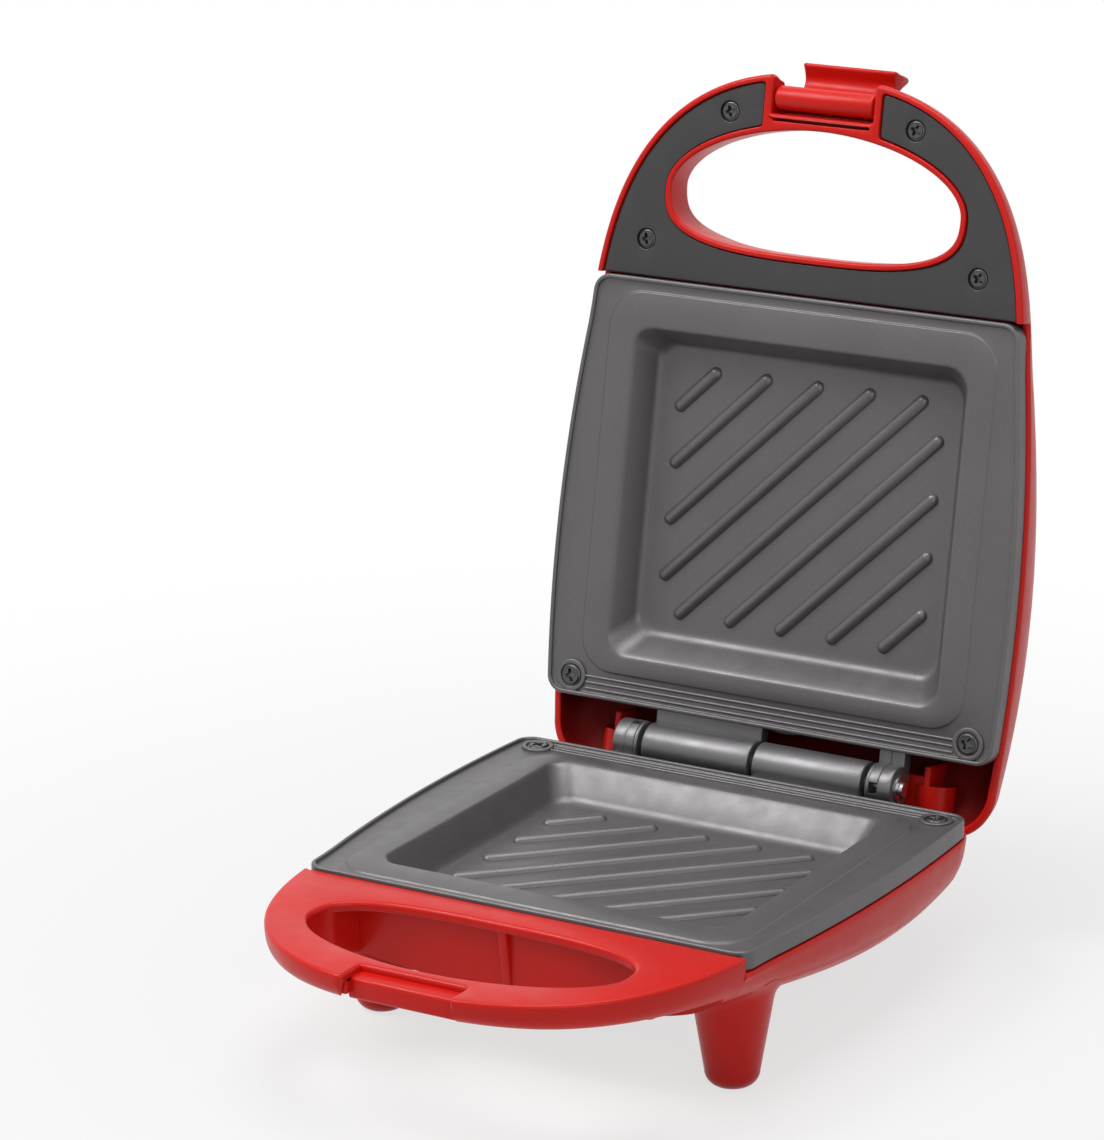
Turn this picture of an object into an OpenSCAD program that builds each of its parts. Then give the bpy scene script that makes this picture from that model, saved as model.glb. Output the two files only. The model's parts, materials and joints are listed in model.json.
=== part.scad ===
// Sandwich toaster: a hinged pair of moulded casings, each with a cast plate, a looped handle and
// a swinging latch.  Lengths in millimetres, +Z up, handle towards -Y.
// The origin is the middle of the footprint of the open toaster, on the surface it stands on.
//
// Each half is drawn in a half frame: X across, Y forward from the hinge axis towards the handle,
// Z outward from the plane where the two plates meet.

/* [Casing] */
// Half the width of the casing at its widest place
half_w = 70.4; // [68:0.1:74]
// Hinge axis to the front of the handle
front_d = 186.8; // [184:0.1:192]
// Hinge axis to the widest place
widest_d = 48; // [40:1:56]
// Radius of the bowed sides
side_r = 483; // [440:1:600]
// Hinge axis to the start of the handle's arch
arch_d = 112; // [108:0.5:114]
// Squareness of the handle's arch
arch_n = 2.45; // [2.2:0.05:2.8]
// Length over which the bowed sides turn into the arch
ease_d = 12; // [8:0.5:16]
// Wall thickness of the moulded casings
wall = 2.2; // [1.8:0.1:2.6]
// Depth of the casings at the side, where they are deepest
depth_max = 21.5; // [20:0.1:24]
// Depth of the casings at the front of the handle
depth_front = 8.6; // [7.8:0.1:9.6]
// Extra depth in the middle of the domed face
dome = 6; // [5:0.1:8]
// Extra depth of the base's flat belly
belly_h = 3.8; // [2:0.1:4.4]
// Half the width of the belly
belly_half_w = 58; // [54:0.5:60]
// Width of the rounding between the side and the face
blend_w = 12; // [8:0.5:15]
// Squareness of that rounding
blend_n = 3.2; // [2.4:0.1:4]
// Rise of the face towards the hinge end
rear_rise = 9; // [6:0.5:10]
// Meeting plane to the rim at the sides
rim_t = 5.5; // [5.3:0.1:6]
// Meeting plane to the deck of the handle
deck_t = 1; // [0.8:0.1:1.3]
// Thickness of the deck of the handle
deck_th = 2.6; // [2.2:0.1:3]

/* [Hinge end] */
// Hinge axis to the rear wall of the lid
lid_rear = 12; // [11:0.1:13]
// Corner radius of the lid's hinge end
lid_corner_r = 14; // [12:0.5:18]
// Corner radius of the base's hinge end
base_corner_r = 22; // [18:0.5:24]
// Angle between the halves when the lid rests open
open_angle = 100.3; // [95:0.1:104]
// Gap left between the open lid and the base
stop_gap = 0.35; // [0.3:0.05:0.5]
// Radius of the hinge barrels
barrel_r = 6; // [5.4:0.1:6.2]
// Radius of the hinge pin
pin_r = 2; // [1.6:0.1:2.4]
// Radial clearance of the barrels that turn on the pin
pin_fit = 0.05; // [0.02:0.01:0.09]
// Length of the broad barrel
broad_w = 32.8; // [30:0.1:34]
// Length of the narrow barrel
narrow_w = 7.6; // [6:0.1:8]
// Gap between the ends of neighbouring barrels
barrel_gap = 1.4; // [0.8:0.1:1.8]
// Clearance round the barrels
barrel_room = 0.8; // [0.6:0.1:1]

/* [Plates] */
// Hinge axis to the rear edge of the plates
plate_rear = 9.6; // [9:0.1:10.5]
// Hinge axis to the front edge of the plates
plate_front = 127.2; // [126:0.1:128.5]
// How far the plates stay inside the casing's outline
plate_inset = 0.8; // [0.6:0.1:1.4]
// Clearance under and in front of the plates
plate_gap = 0.3; // [0.2:0.05:0.5]
// Thickness of the castings
cast_wall = 2; // [1.6:0.1:2.4]
// Width of the raised outer rim
lip_w = 1.2; // [1:0.1:1.6]
// Depth of the band inside the rim
band_depth = 1; // [0.8:0.1:1.4]
// Half the width of the raised ledge
ledge_half_w = 58.5; // [57:0.1:60]
// Hinge axis to the rear edge of the ledge
ledge_rear = 17.4; // [16.5:0.1:18]
// Hinge axis to the front edge of the ledge
ledge_front = 123.4; // [122:0.1:124]
// Corner radius of the ledge
ledge_r = 10; // [8:0.5:12]
// Height of the ledge above the band
ledge_h = 0.5; // [0.3:0.1:0.6]
// Half the width of the pocket at its mouth
pocket_half_w = 50.3; // [48:0.1:52]
// Hinge axis to the rear of the pocket's mouth
pocket_rear = 23; // [22.5:0.1:25]
// Hinge axis to the front of the pocket's mouth
pocket_front = 113.6; // [111:0.1:114]
// Depth of the pocket
pocket_depth = 10; // [9:0.1:10.6]
// Run of the pocket's sloping sides and front
pocket_slope = 4.4; // [3:0.1:5]
// Run of the pocket's sloping rear side
pocket_slope_rear = 6.2; // [5:0.1:7]
// Corner radius of the pocket's mouth
pocket_r = 6; // [5:0.5:8]
// Number of raised ribs on the pocket's floor
rib_count = 9; // [7:2:9]
// Spacing of the ribs, measured across them
rib_pitch = 11.1; // [10.5:0.1:11.6]
// Half the width of the ribbed field
rib_half_w = 39.2; // [37:0.1:40]
// Half the length of the ribbed field
rib_half_l = 33.6; // [32:0.1:35]
// Radius of the ribs' rounding
rib_r = 2; // [1.6:0.1:2.4]
// Height of the ribs
rib_h = 1.4; // [1:0.1:1.6]
// Number of fine raised lines along the hinge edge
line_count = 3; // [2:1:3]
// Spacing of the fine lines
line_pitch = 1.7; // [1.5:0.1:1.8]
// Width of a fine line
line_w = 0.7; // [0.5:0.1:0.9]

/* [Plate screws] */
// Side of the casing to the plate screws
plate_screw_inset = 9.4; // [8.6:0.1:10.4]
// Hinge axis to the plate screws
plate_screw_d = 15; // [14.5:0.1:16]
// Head radius of the plate screws
plate_head_r = 2.9; // [2.6:0.1:3.2]
// Shank radius of the plate screws
plate_shank_r = 1.5; // [1.2:0.1:1.6]
// Length of the plate screws under the head
plate_screw_l = 9; // [8:0.5:10]

/* [Handle] */
// Half the width of the handle's opening
hole_half_w = 44.8; // [43:0.1:46]
// Hinge axis to the widest place of the opening
hole_mid_d = 152.8; // [152:0.1:154]
// Reach of the opening towards the plate
hole_rear_l = 16.2; // [15:0.1:16.6]
// Reach of the opening towards the front
hole_front_l = 20.3; // [18.6:0.1:20.6]
// Squareness of the opening's side towards the plate
hole_rear_n = 3; // [2.2:0.1:3.6]
// Squareness of the opening's front
hole_front_n = 1.9; // [1.8:0.05:2.2]
// How much smaller the lid's opening is
lid_hole_inset = 1.4; // [1:0.1:1.8]
// Width of the lip round the lid's opening
hole_lip = 1.7; // [1.5:0.1:2]
// Radius of the hollow scooped out of the lid's face
scoop_r = 100; // [90:1:120]
// Hinge axis to the deepest place of the scoop
scoop_d = 152; // [148:0.5:156]
// Meeting plane to the deepest place of the scoop
scoop_t = 9; // [8.6:0.1:10]

/* [Handle cover] */
// Width of the casing's rim round the cover
cover_inset = 1.7; // [1.5:0.1:2]
// Gap round the cover
cover_gap = 0.25; // [0.2:0.05:0.4]
// How deep the cover lies under the rim
cover_sink = 0.7; // [0.5:0.1:0.9]
// Thickness of the cover
cover_th = 1.9; // [1.6:0.1:2.2]
// Side of the casing to the cover's rear screws
cover_screw_inset = 20.2; // [19:0.1:21]
// Hinge axis to the cover's rear screws
cover_rear_screw_d = 137.8; // [137:0.1:139]
// Middle to the cover's front screws
cover_front_screw_x = 27.8; // [27:0.1:29]
// Front of the handle to the cover's front screws
cover_front_screw_l = 12.1; // [11.6:0.1:12.6]
// Head radius of the cover screws
cover_head_r = 2.5; // [2.2:0.1:2.8]
// Shank radius of the cover screws
cover_shank_r = 1.2; // [1:0.1:1.4]

/* [Latch] */
// Half the width of the gap for the latch
notch_half_w = 15.2; // [14:0.1:16]
// Side clearance of the latch
latch_side_gap = 0.6; // [0.4:0.1:0.9]
// Hinge axis to the latch's pivot
pivot_d = 179.7; // [179.4:0.1:180]
// Meeting plane to the latch's pivot
pivot_t = 4.5; // [4.4:0.1:4.7]
// Radius of the latch's barrel
latch_barrel_r = 3.3; // [3:0.1:3.5]
// Radius of the latch's pin
latch_pin_r = 1.2; // [1:0.1:1.4]
// Swing of the latch from shut to fully open
latch_swing = 145; // [130:1:150]
// Pivot to the inner side of the latch's leaf at its root, when shut
leaf_in = 2.4; // [2.3:0.05:2.6]
// How far the leaf bows out from there
leaf_bow = 1.3; // [1:0.1:1.5]
// Thickness of the latch's leaf
leaf_th = 2.1; // [1.8:0.1:2.3]
// Clearance between the hook and the catch bar
hook_gap = 0.4; // [0.3:0.05:0.5]
// Depth of the catch bar under the meeting plane
catch_t = 8.5; // [8:0.1:8.8]

/* [Legs] */
// Height of the meeting plane of the plates above the table
plane_h = 42.6; // [42:0.1:48]
// Middle to the front legs
front_leg_x = 51.6; // [48:0.1:53]
// Hinge axis to the front legs
front_leg_d = 110.5; // [106:0.5:112]
// Middle to the rear legs
rear_leg_x = 31; // [28:0.5:36]
// Hinge axis to the rear legs
rear_leg_d = 20; // [18:0.5:26]
// Radius of the front legs at the top
front_leg_top_r = 11.5; // [10:0.1:12]
// Radius of the rear legs at the top
rear_leg_top_r = 9; // [8:0.1:10]
// Radius of the legs at the foot
leg_foot_r = 7.1; // [6:0.1:8]
// Rounding at the foot
leg_round = 4.2; // [3:0.1:4.6]
// Radius of the screw that holds a leg
leg_screw_r = 1.8; // [1.5:0.1:2]

/* [Heating] */
// Radius of the sheathed heating element
element_r = 3; // [2.6:0.1:3.2]
// Half the width of its U
element_half_w = 28; // [24:0.5:30]
// Hinge axis to the straight ends of the U
element_rear = 30; // [29:0.5:33]
// Hinge axis to the bend of the U
element_bend_d = 69; // [66:0.5:70]
// Thickness of the clamp across the element
clamp_th = 1.2; // [1:0.1:1.5]
// Width of the clamp
clamp_w = 14; // [12:0.5:16]
// Thickness of the heat shield
shield_th = 0.6; // [0.5:0.1:0.8]
// Half the width of the heat shield
shield_half_w = 36; // [34:0.5:38]
// Depth of the shield's tray
shield_depth = 8.6; // [8.4:0.1:9]

/* [Indicator] */
// Hinge axis to the middle of the indicator
lens_d = 12; // [11:0.5:14]
// Half the width of the lens
lens_half_w = 12.4; // [11:0.1:13]
// Half the height of the lens
lens_half_h = 5.2; // [4.6:0.1:5.6]
// Width of the bezel round the lens
bezel_w = 3.6; // [3:0.1:4]
// How far the bezel stands above the face
bezel_h = 1.2; // [1:0.1:1.5]
// Middle to the studs that the closed toaster stands on
stud_x = 48; // [44:0.5:50]
// Radius of those studs
stud_r = 5.6; // [5:0.1:6]
// Length of those studs
stud_l = 4.7; // [4:0.1:5.5]

/* [Hidden] */
$fn = 48;
red = "#c8281c";
dark_grey = "#3c3a3a";
plate_grey = "#6a676b";
steel = "#b4b4b8";
far = 400;
eps = 0.01;

// Plan outline, in the half frame
side_slope = (arch_d - widest_d) / side_r;
centre_d = 87;
dome_reach = 101;
fall_l = 125;
rise_d = widest_d - 3;
belly_rise_d = 40;
belly_end_d = 150;
belly_fade = 12;
arch_steps = 15;
side_steps = 8;
corner_steps = 7;
rear_steps = 4;
inner_rings = [0.9, 0.8, 0.6, 0.4, 0.2];
under_deck = deck_t + deck_th;
step_d = plate_front + plate_gap;

// Latch when shut, from its pivot: hook, outer side of the leaf and tip of its finger edge
hook_t = catch_t + pivot_t + hook_gap;
leaf_deep = leaf_in + leaf_bow;
leaf_out = leaf_deep + leaf_th;
finger_u = leaf_out - 0.9;
finger_v = -hook_t - 5.9;

// How far the open lid and the swung latch reach back, and the hinge axis that follows from it
lid_back = lid_y(widest_d + 40, depth_max + dome);
latch_back = lid_y(pivot_d, pivot_t)
    + lid_y(finger_u * cos(latch_swing) - finger_v * sin(latch_swing),
        finger_u * sin(latch_swing) + finger_v * cos(latch_swing));
front_reach = arch_d + (front_d - arch_d) * pow(1 - pow(notch_half_w / side_x(front_d), arch_n), 1 / arch_n);
hinge_y = (front_reach - max(lid_back, latch_back)) / 2;
base_rear = lid_y(-lid_rear, rim_t) - stop_gap;
latch_half_w = notch_half_w - latch_side_gap;

// Plates
lip_t = plate_gap / 2;
band_t = lip_t + band_depth;
ledge_t = band_t - ledge_h;
skirt_t = rim_t - plate_gap;
floor_t = lip_t + pocket_depth;
under_t = floor_t + cast_wall;
plate_corner_r = 5;
plate_screw_x = half_w - plate_screw_inset;
screw_ring_w = 1.6;
line_first = 0.9;
line_end = 6;
head_fit = 0.2;
boss_r = 3.4;
plate_boss_r = boss_r + 0.6;
narrow_x = barrel_gap / 2 + broad_w + barrel_gap / 2;
pin_end = narrow_x + narrow_w;
slot_w = 2.4;
slot_inset = 1.2;
slot_l = 3.2;
web_d = plate_rear + 1;
web_reach = norm([web_d, band_t]);
web_turn = acos(barrel_r / web_reach) - atan(band_t / web_d);
web_tangent = [barrel_r * cos(web_turn), -barrel_r * sin(web_turn)];

// Latch
bar_front = pivot_d + leaf_in - hook_gap;
bar_th = 2.4;
hook_tip_u = leaf_in - hook_gap - bar_th - 1.6;
catch_wall_d = pivot_d + hook_tip_u - 0.8;
catch_top_t = under_deck - 0.8;
bar_round = bar_th / 2;

// Legs and their screws
leg_pad_r = 5;
leg_pad_t = 13.5;
rear_pad_t = leg_pad_t + 3;
leg_top_t = 12;
leg_head_r = 3;
leg_head_h = 2;
front_leg_screw_l = 13;
rear_leg_screw_l = 9.5;

// Front wall of the base's compartment, under the opening, and the rib on it
wall_gap = 2.6;
wall_top_d = hole_mid_d - hole_rear_l - wall_gap;
wall_back = 0.06;
wall_rib_w = 2.6;
wall_rib_l = 2.2;

// Lid: latch housing, slot and the ribs beside the hinge
housing_half_w = notch_half_w + wall;
housing_d = hole_mid_d + hole_front_l - lid_hole_inset + hole_lip - wall / 2;
slot_d = housing_d + wall / 2;
slot_th = 1;
notch_room = 1.1;
notch_d = pivot_d - latch_barrel_r - notch_room;
shelf_t = pivot_t + 1.3;
shelf_th = 1.3;
shelf_gap = 0.9;
rib_w = 1.8;
hinge_rib_x = pin_end + 4.2;
hinge_rib_d = 6.3;
hinge_rib_t = rim_t + 0.3;
fin_w = 8;
fin_d = 3.2;
fin_t = rim_t + 1.7;
fin_th = 1.5;
fin_r = 2.6;

// Handle cover
cover_seat_t = deck_t + cover_sink + cover_th;
cover_boss_r = 3.2;
cover_screw_l = 2.4;
cover_head_room = 0.4;
cover_floor = 0.6;

// Inlet and studs
inlet_x = -8;
inlet_d = 18.5;
inlet_r = 4.2;
inlet_bore_r = 2.6;
flange_w = 2;
flange_h = 1.6;
nut_w = 1.2;
nut_h = 1.4;
stud_t = rim_t + stud_r + 0.2;
stud_root = 4;
stud_round = 1.4;

// Heating parts
element_t = under_t + element_r + 0.1;
terminal_pin_r = 1.2;
terminal_pin_l = 6;
collar_r = 2;
collar_l = 1.5;
clamp_d = 58;
clamp_margin = 2;
clamp_t = element_t + element_r + 0.1;
clamp_screw_x = 12;
clamp_stud_r = 3;
clamp_bore_r = 1.25;
clamp_shank_r = 1.2;
clamp_hole_r = 1.4;
clamp_head_r = 2.2;
clamp_head_h = 1.2;
clamp_screw_l = 4;
shield_rear = 36;
shield_front = 74;
shield_t = under_t + 0.15;
shield_h = shield_depth + 1.2;
shield_notch = 4;
shield_notch_h = 8.2;
thermostat_d = 44;
thermostat_r = 6.5;
cap_r = 5.6;
cap_h = 3.2;
can_h = 3;
tab_w = 3;
tab_l = 5;
tab_th = 0.8;
fuse_d = 69.5;
fuse_r = 2.1;
fuse_half_l = 7;
fuse_lead_r = 0.6;
fuse_lead_l = 5;
terminal_l = 26;
terminal_w = 8;
terminal_h = 7;
terminal_d = 26;
terminal_floor_t = 20.5;
terminal_pitch = 8;
terminal_bore_r = 1.6;
lead_r = 1;
lead_gap = 0.05;

// Indicator
lens_sleeve = 4.4;
sleeve_w = bezel_w - 1.4;
lens_fit = 0.1;
lamp_r = 1.7;
lamp_half_l = 6;
board_th = 0.8;

function smooth(t) = let(c = min(max(t, 0), 1)) c * c * (3 - 2 * c);

// Position across the hinge axis of a point of the open lid
function lid_y(d, t) = -d * cos(open_angle) + t * sin(open_angle);

// Half width of the bowed sides at a distance from the hinge axis
function side_x(d) = half_w - pow(min(d, arch_d) - widest_d, 2) / (2 * side_r)
    - (d > arch_d ? side_slope * ease_d * (1 - exp(-(d - arch_d) / ease_d)) : 0);

// Depth of the casing's edge, and of its domed face
function edge_depth(d) = depth_max - (depth_max - depth_front) * smooth((d - widest_d) / fall_l)
    - rear_rise * pow(max(0, rise_d - d) / (rise_d + lid_rear), 2);
function belly(x, d) = (1 - pow(min(1, abs(x) / belly_half_w), 6))
    * smooth(d / belly_rise_d) * smooth((belly_end_d - d) / belly_fade);
function face_depth(x, d, extra) = edge_depth(d) + extra * belly(x, d)
    + dome * (1 - pow(x / half_w, 2)) * (1 - pow(abs(d - centre_d) / dome_reach, 3));
function face_tilt(x, d, extra) = atan((face_depth(x, d + 4, extra) - face_depth(x, d - 4, extra)) / 8);

function arch_point(a, g) =
    let(d = arch_d + (front_d + g - arch_d) * pow(sin(a), 2 / arch_n))
    [(side_x(d) + g) * pow(cos(a), 2 / arch_n), d];

// Right half of the outline grown by g, from the front round to the hinge end
function right_half(g, rear, r) =
    let(cd = r - rear, cx = side_x(cd) - r)
    concat(
        [for (i = [0:arch_steps]) arch_point(90 - 90 * i / arch_steps, g)],
        [for (i = [1:side_steps]) let(d = arch_d + (cd - arch_d) * i / side_steps) [side_x(d) + g, d]],
        [for (i = [1:corner_steps]) let(b = 90 * i / corner_steps)
            [cx + (r + g) * cos(b), cd - (r + g) * sin(b)]],
        [for (i = [1:rear_steps]) [cx * (1 - i / rear_steps), -rear - g]]);

function outline(g, rear, r) =
    let(half = right_half(g, rear, r), n = len(half))
    concat(half, [for (i = [n - 2:-1:1]) [-half[i][0], half[i][1]]]);

// Handle opening: an oval that is squarer towards the plate
function hole_outline(g) = [for (a = [0:6:354])
    let(front = a <= 180, n = front ? hole_front_n : hole_rear_n)
    let(reach = g + (front ? hole_front_l : hole_rear_l))
    [sign(cos(a)) * (hole_half_w + g) * pow(abs(cos(a)), 2 / n),
        hole_mid_d + sign(sin(a)) * reach * pow(abs(sin(a)), 2 / n)]];

module casing_outline(g, rear, r) polygon(outline(g, rear, r));

// Closed solid between a flat top and the domed face.  Each ring is the outline drawn in towards
// its middle: first round the blend at the edge, then across the face.
module moulded_body(g, top_t, thinner, rear, r, extra) {
    plan = outline(g, rear, r);
    n = len(plan);
    blend = [for (a = [0:15:90])
        [1 - blend_w / half_w * (1 - pow(cos(a), 2 / blend_n)), pow(sin(a), 2 / blend_n)]];
    inner_q = blend[len(blend) - 1][0];
    rings = concat(blend, [for (k = inner_rings) [inner_q * k, 1]]);
    ring_points = [for (ring = rings, p = plan)
        let(q = ring[0], x = p[0] * q, d = centre_d + (p[1] - centre_d) * q)
        [x, d, deck_t + (face_depth(x, d, extra) - thinner - deck_t) * ring[1]]];
    top_points = [for (p = plan) [p[0], p[1], top_t]];
    lead = top_t < deck_t ? top_points : [];
    points = concat(lead, ring_points, [[0, centre_d, face_depth(0, centre_d, extra) - thinner]]);
    bands = len(rings) + len(lead) / n - 1;
    last = len(points) - 1;
    quads = [for (b = [0:bands - 1], i = [0:n - 1])
        [b * n + i, b * n + (i + 1) % n, (b + 1) * n + (i + 1) % n, (b + 1) * n + i]];
    faces = concat(
        [[for (i = [n - 1:-1:0]) i]],
        [for (q = quads) [q[0], q[2], q[3]]],
        [for (q = quads) [q[0], q[1], q[2]]],
        [for (i = [0:n - 1]) [bands * n + i, bands * n + (i + 1) % n, last]]);
    polyhedron(points, faces);
}
module base_body(g, top_t, thinner) moulded_body(g, top_t, thinner, base_rear, base_corner_r, belly_h);
module lid_body(g, top_t, thinner) moulded_body(g, top_t, thinner, lid_rear, lid_corner_r, 0);

// Frames of the two halves
module on_base() translate([0, hinge_y, plane_h]) rotate([180, 0, 0]) children();
module on_lid() translate([0, hinge_y, plane_h]) rotate([-open_angle, 0, 0]) rotate([0, 0, 180]) children();
module both_sides() {
    children();
    mirror([1, 0, 0]) children();
}
// A place on the domed face, facing outward
module on_face(x, d, extra) translate([x, d, face_depth(x, d, extra)])
    rotate([face_tilt(x, d, extra), 0, 0]) children();
// Extrude a (d, t) profile across the body between two x
module across(x0, x1) translate([x0, 0, 0]) rotate([90, 0, 90]) linear_extrude(x1 - x0) children();

// ---------------------------------------------------------------- casings

// Everything above the lowered rim beside the plates
module rim_cut() translate([-far, -far, -far]) cube([2 * far, far + step_d, far + rim_t]);
module barrel_clearance() {
    x = pin_end + 2.5;
    across(-x, x) circle(barrel_r + barrel_room);
}
module plate_bosses() both_sides()
    translate([plate_screw_x, plate_screw_d, rim_t]) cylinder(r = boss_r, h = depth_max);
module plate_boss_bores() both_sides()
    translate([plate_screw_x, plate_screw_d, 0]) cylinder(r = plate_shank_r + 0.05, h = plate_screw_l + 3);

// Space in front of the base's compartment wall, under the deck
module in_front_of_wall(offset_d, lower) {
    d = wall_top_d + offset_d;
    across(-far, far) polygon([[d, under_deck], [d, under_deck - lower], [far, under_deck - lower],
        [far, far], [d - wall_back * (far - under_deck), far]]);
}

module base_hollow() difference() {
    base_body(-wall, -10, wall);
    in_front_of_wall(-wall, 0.6);
    translate([-far, step_d, -far]) cube([2 * far, far, far + under_deck]);
    plate_bosses();
    leg_bosses();
    // seat of the terminal block
    translate([-terminal_l / 2 - 1, terminal_d - 1, terminal_floor_t])
        cube([terminal_l + 2, terminal_w + 2, far]);
}
module base_handle_hollow() difference() {
    intersection() {
        translate([0, 0, under_deck]) linear_extrude(far) casing_outline(-wall, base_rear, base_corner_r);
        in_front_of_wall(0, 0);
    }
    translate([-housing_half_w, catch_wall_d - wall, 0]) cube([2 * housing_half_w, far, far]);
    // stiffening rib on the compartment's wall, thinner at its foot
    across(-wall_rib_w / 2, wall_rib_w / 2)
        polygon([[wall_top_d - wall, 0], [wall_top_d + wall_rib_l, 0], [wall_top_d, far / 10],
            [wall_top_d - wall, far / 10]]);
}

module catch_bar() {
    translate([-notch_half_w, catch_wall_d - eps, catch_top_t])
        cube([2 * notch_half_w, bar_front - catch_wall_d - bar_round, deck_th]);
    translate([-notch_half_w, bar_front - bar_th, catch_top_t + bar_round])
        cube([2 * notch_half_w, bar_th, catch_t - catch_top_t - 2 * bar_round]);
    for (t = [catch_top_t + bar_round, catch_t - bar_round])
        translate([0, bar_front - bar_round, t]) across(-notch_half_w, notch_half_w) circle(bar_round);
}

module base_casing() color(red) on_base() {
    difference() {
        base_body(0, deck_t, 0);
        rim_cut();
        base_hollow();
        base_handle_hollow();
        barrel_clearance();
        plate_boss_bores();
        translate([0, 0, -1]) linear_extrude(under_deck + 2) polygon(hole_outline(0));
        translate([-notch_half_w, catch_wall_d, -far]) cube([2 * notch_half_w, far, 2 * far]);
        leg_screw_holes();
        inlet_place() translate([0, 0, -wall - 2]) cylinder(r = inlet_r + 0.05, h = far);
    }
    catch_bar();
}

module lid_hollow() difference() {
    lid_body(-wall, -10, wall);
    translate([-far, step_d, -far]) cube([2 * far, far, 2 * far]);
    scoop(wall);
    plate_bosses();
    hinge_ribs();
}
// Rib and rounded fin beside each end of the hinge
module hinge_ribs() both_sides() {
    translate([hinge_rib_x, -lid_rear, hinge_rib_t]) cube([rib_w, lid_rear + hinge_rib_d, far]);
    translate([hinge_rib_x - fin_w, -lid_rear, fin_t]) linear_extrude(fin_th) {
        square([fin_w, lid_rear + fin_d - fin_r]);
        translate([fin_r, 0]) square([fin_w - fin_r, lid_rear + fin_d]);
        translate([fin_r, lid_rear + fin_d - fin_r]) circle(fin_r);
    }
}
module scoop(thicker) translate([0, scoop_d, scoop_t + scoop_r]) sphere(scoop_r + thicker, $fn = 96);

module handle_ring() linear_extrude(far) polygon(hole_outline(hole_lip - lid_hole_inset));
module latch_housing() translate([-housing_half_w, housing_d, -far])
    cube([2 * housing_half_w, far, 2 * far]);
// Room for the latch, with a shelf behind its barrel
module latch_room() difference() {
    translate([-notch_half_w, notch_d, -far]) cube([2 * notch_half_w, far, 2 * far]);
    difference() {
        translate([-far, notch_d - 1, shelf_t]) cube([2 * far, pivot_d - notch_d, shelf_th]);
        translate([0, pivot_d, pivot_t]) across(-far, far) circle(latch_barrel_r + shelf_gap);
    }
}

module cover_screw_places() both_sides() {
    translate([cover_front_screw_x, front_d - cover_front_screw_l, 0]) children();
    translate([half_w - cover_screw_inset, cover_rear_screw_d, 0]) children();
}

module lid_handle_hollow() difference() {
    lid_body(-wall, -10, wall);
    translate([-far, -far, -far]) cube([2 * far, far + step_d + wall, 2 * far]);
    scoop(wall);
    handle_ring();
    latch_housing();
    translate([0, 0, cover_seat_t]) cover_screw_places() cylinder(r = cover_boss_r, h = far);
}
// The cover's outline grown by g; its recess is open towards the plate
module cover_recess(g, rear_d, depth) difference() {
    linear_extrude(depth) intersection() {
        casing_outline(-cover_inset + g, lid_rear, lid_corner_r);
        translate([-far, rear_d]) square([2 * far, far]);
    }
    translate([0, 0, -1]) linear_extrude(far) polygon(hole_outline(hole_lip - lid_hole_inset - g));
    translate([-housing_half_w + g, housing_d, -1]) cube([2 * (housing_half_w - g), far, far]);
}

module lid_casing() color(red) on_lid() difference() {
    lid_body(0, deck_t, 0);
    rim_cut();
    lid_hollow();
    lid_handle_hollow();
    translate([0, 0, deck_t - 1]) cover_recess(0, step_d - 1, 1 + cover_sink + cover_th);
    plate_boss_bores();
    translate([0, 0, -1]) linear_extrude(far) polygon(hole_outline(-lid_hole_inset));
    scoop(0);
    latch_room();
    translate([-notch_half_w, slot_d, -1]) cube([2 * notch_half_w, slot_th, scoop_t - wall]);
    translate([0, pivot_d, pivot_t]) across(-housing_half_w - 1, housing_half_w + 1) circle(latch_pin_r);
    cover_screw_places() cylinder(r = cover_shank_r + 0.05, h = cover_seat_t + cover_screw_l);
    indicator_place() translate([0, 0, -8]) lens_prism(sleeve_w + 0.05, 24);
}

// ---------------------------------------------------------------- legs, inlet and studs

module leg_places() both_sides() {
    translate([front_leg_x, front_leg_d, 0]) children(0);
    translate([rear_leg_x, rear_leg_d, 0]) children(1);
}
// Pads inside the casing where the leg screws sit
module leg_bosses() leg_places() {
    translate([0, 0, leg_pad_t]) cylinder(r = leg_pad_r, h = far);
    translate([0, 0, rear_pad_t]) cylinder(r = leg_pad_r, h = far);
}
module leg_screw_holes() leg_places() {
    cylinder(r = leg_screw_r + 0.05, h = far);
    cylinder(r = leg_screw_r + 0.05, h = far);
}
// A tapered leg with a rounded foot, bored for its screw
module leg(top_r) difference() {
    rotate_extrude() difference() {
        union() {
            polygon([[0, leg_top_t], [top_r, leg_top_t], [leg_foot_r, plane_h - leg_round],
                [0, plane_h - leg_round]]);
            translate([0, plane_h - leg_round]) square([leg_foot_r - leg_round, leg_round]);
            translate([leg_foot_r - leg_round, plane_h - leg_round]) circle(leg_round);
        }
        translate([-far, 0]) square([far, far]);
    }
    cylinder(r = leg_screw_r, h = leg_top_t + 15);
}
// Legs trimmed to the casing's underside
module trimmed_legs(x, d, top_r) difference() {
    both_sides() translate([x, d, 0]) leg(top_r);
    base_body(0, deck_t, 0);
}
module front_legs() color(red) on_base() trimmed_legs(front_leg_x, front_leg_d, front_leg_top_r);
module rear_legs() color(red) on_base() trimmed_legs(rear_leg_x, rear_leg_d, rear_leg_top_r);

module cross_head(r, h) difference() {
    arm = 1.3 * r;
    slit = 0.28 * r;
    cylinder(r = r, h = h);
    for (a = [0, 90]) rotate([0, 0, a]) translate([-arm / 2, -slit / 2, -eps]) cube([arm, slit, h * 0.6]);
}
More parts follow.
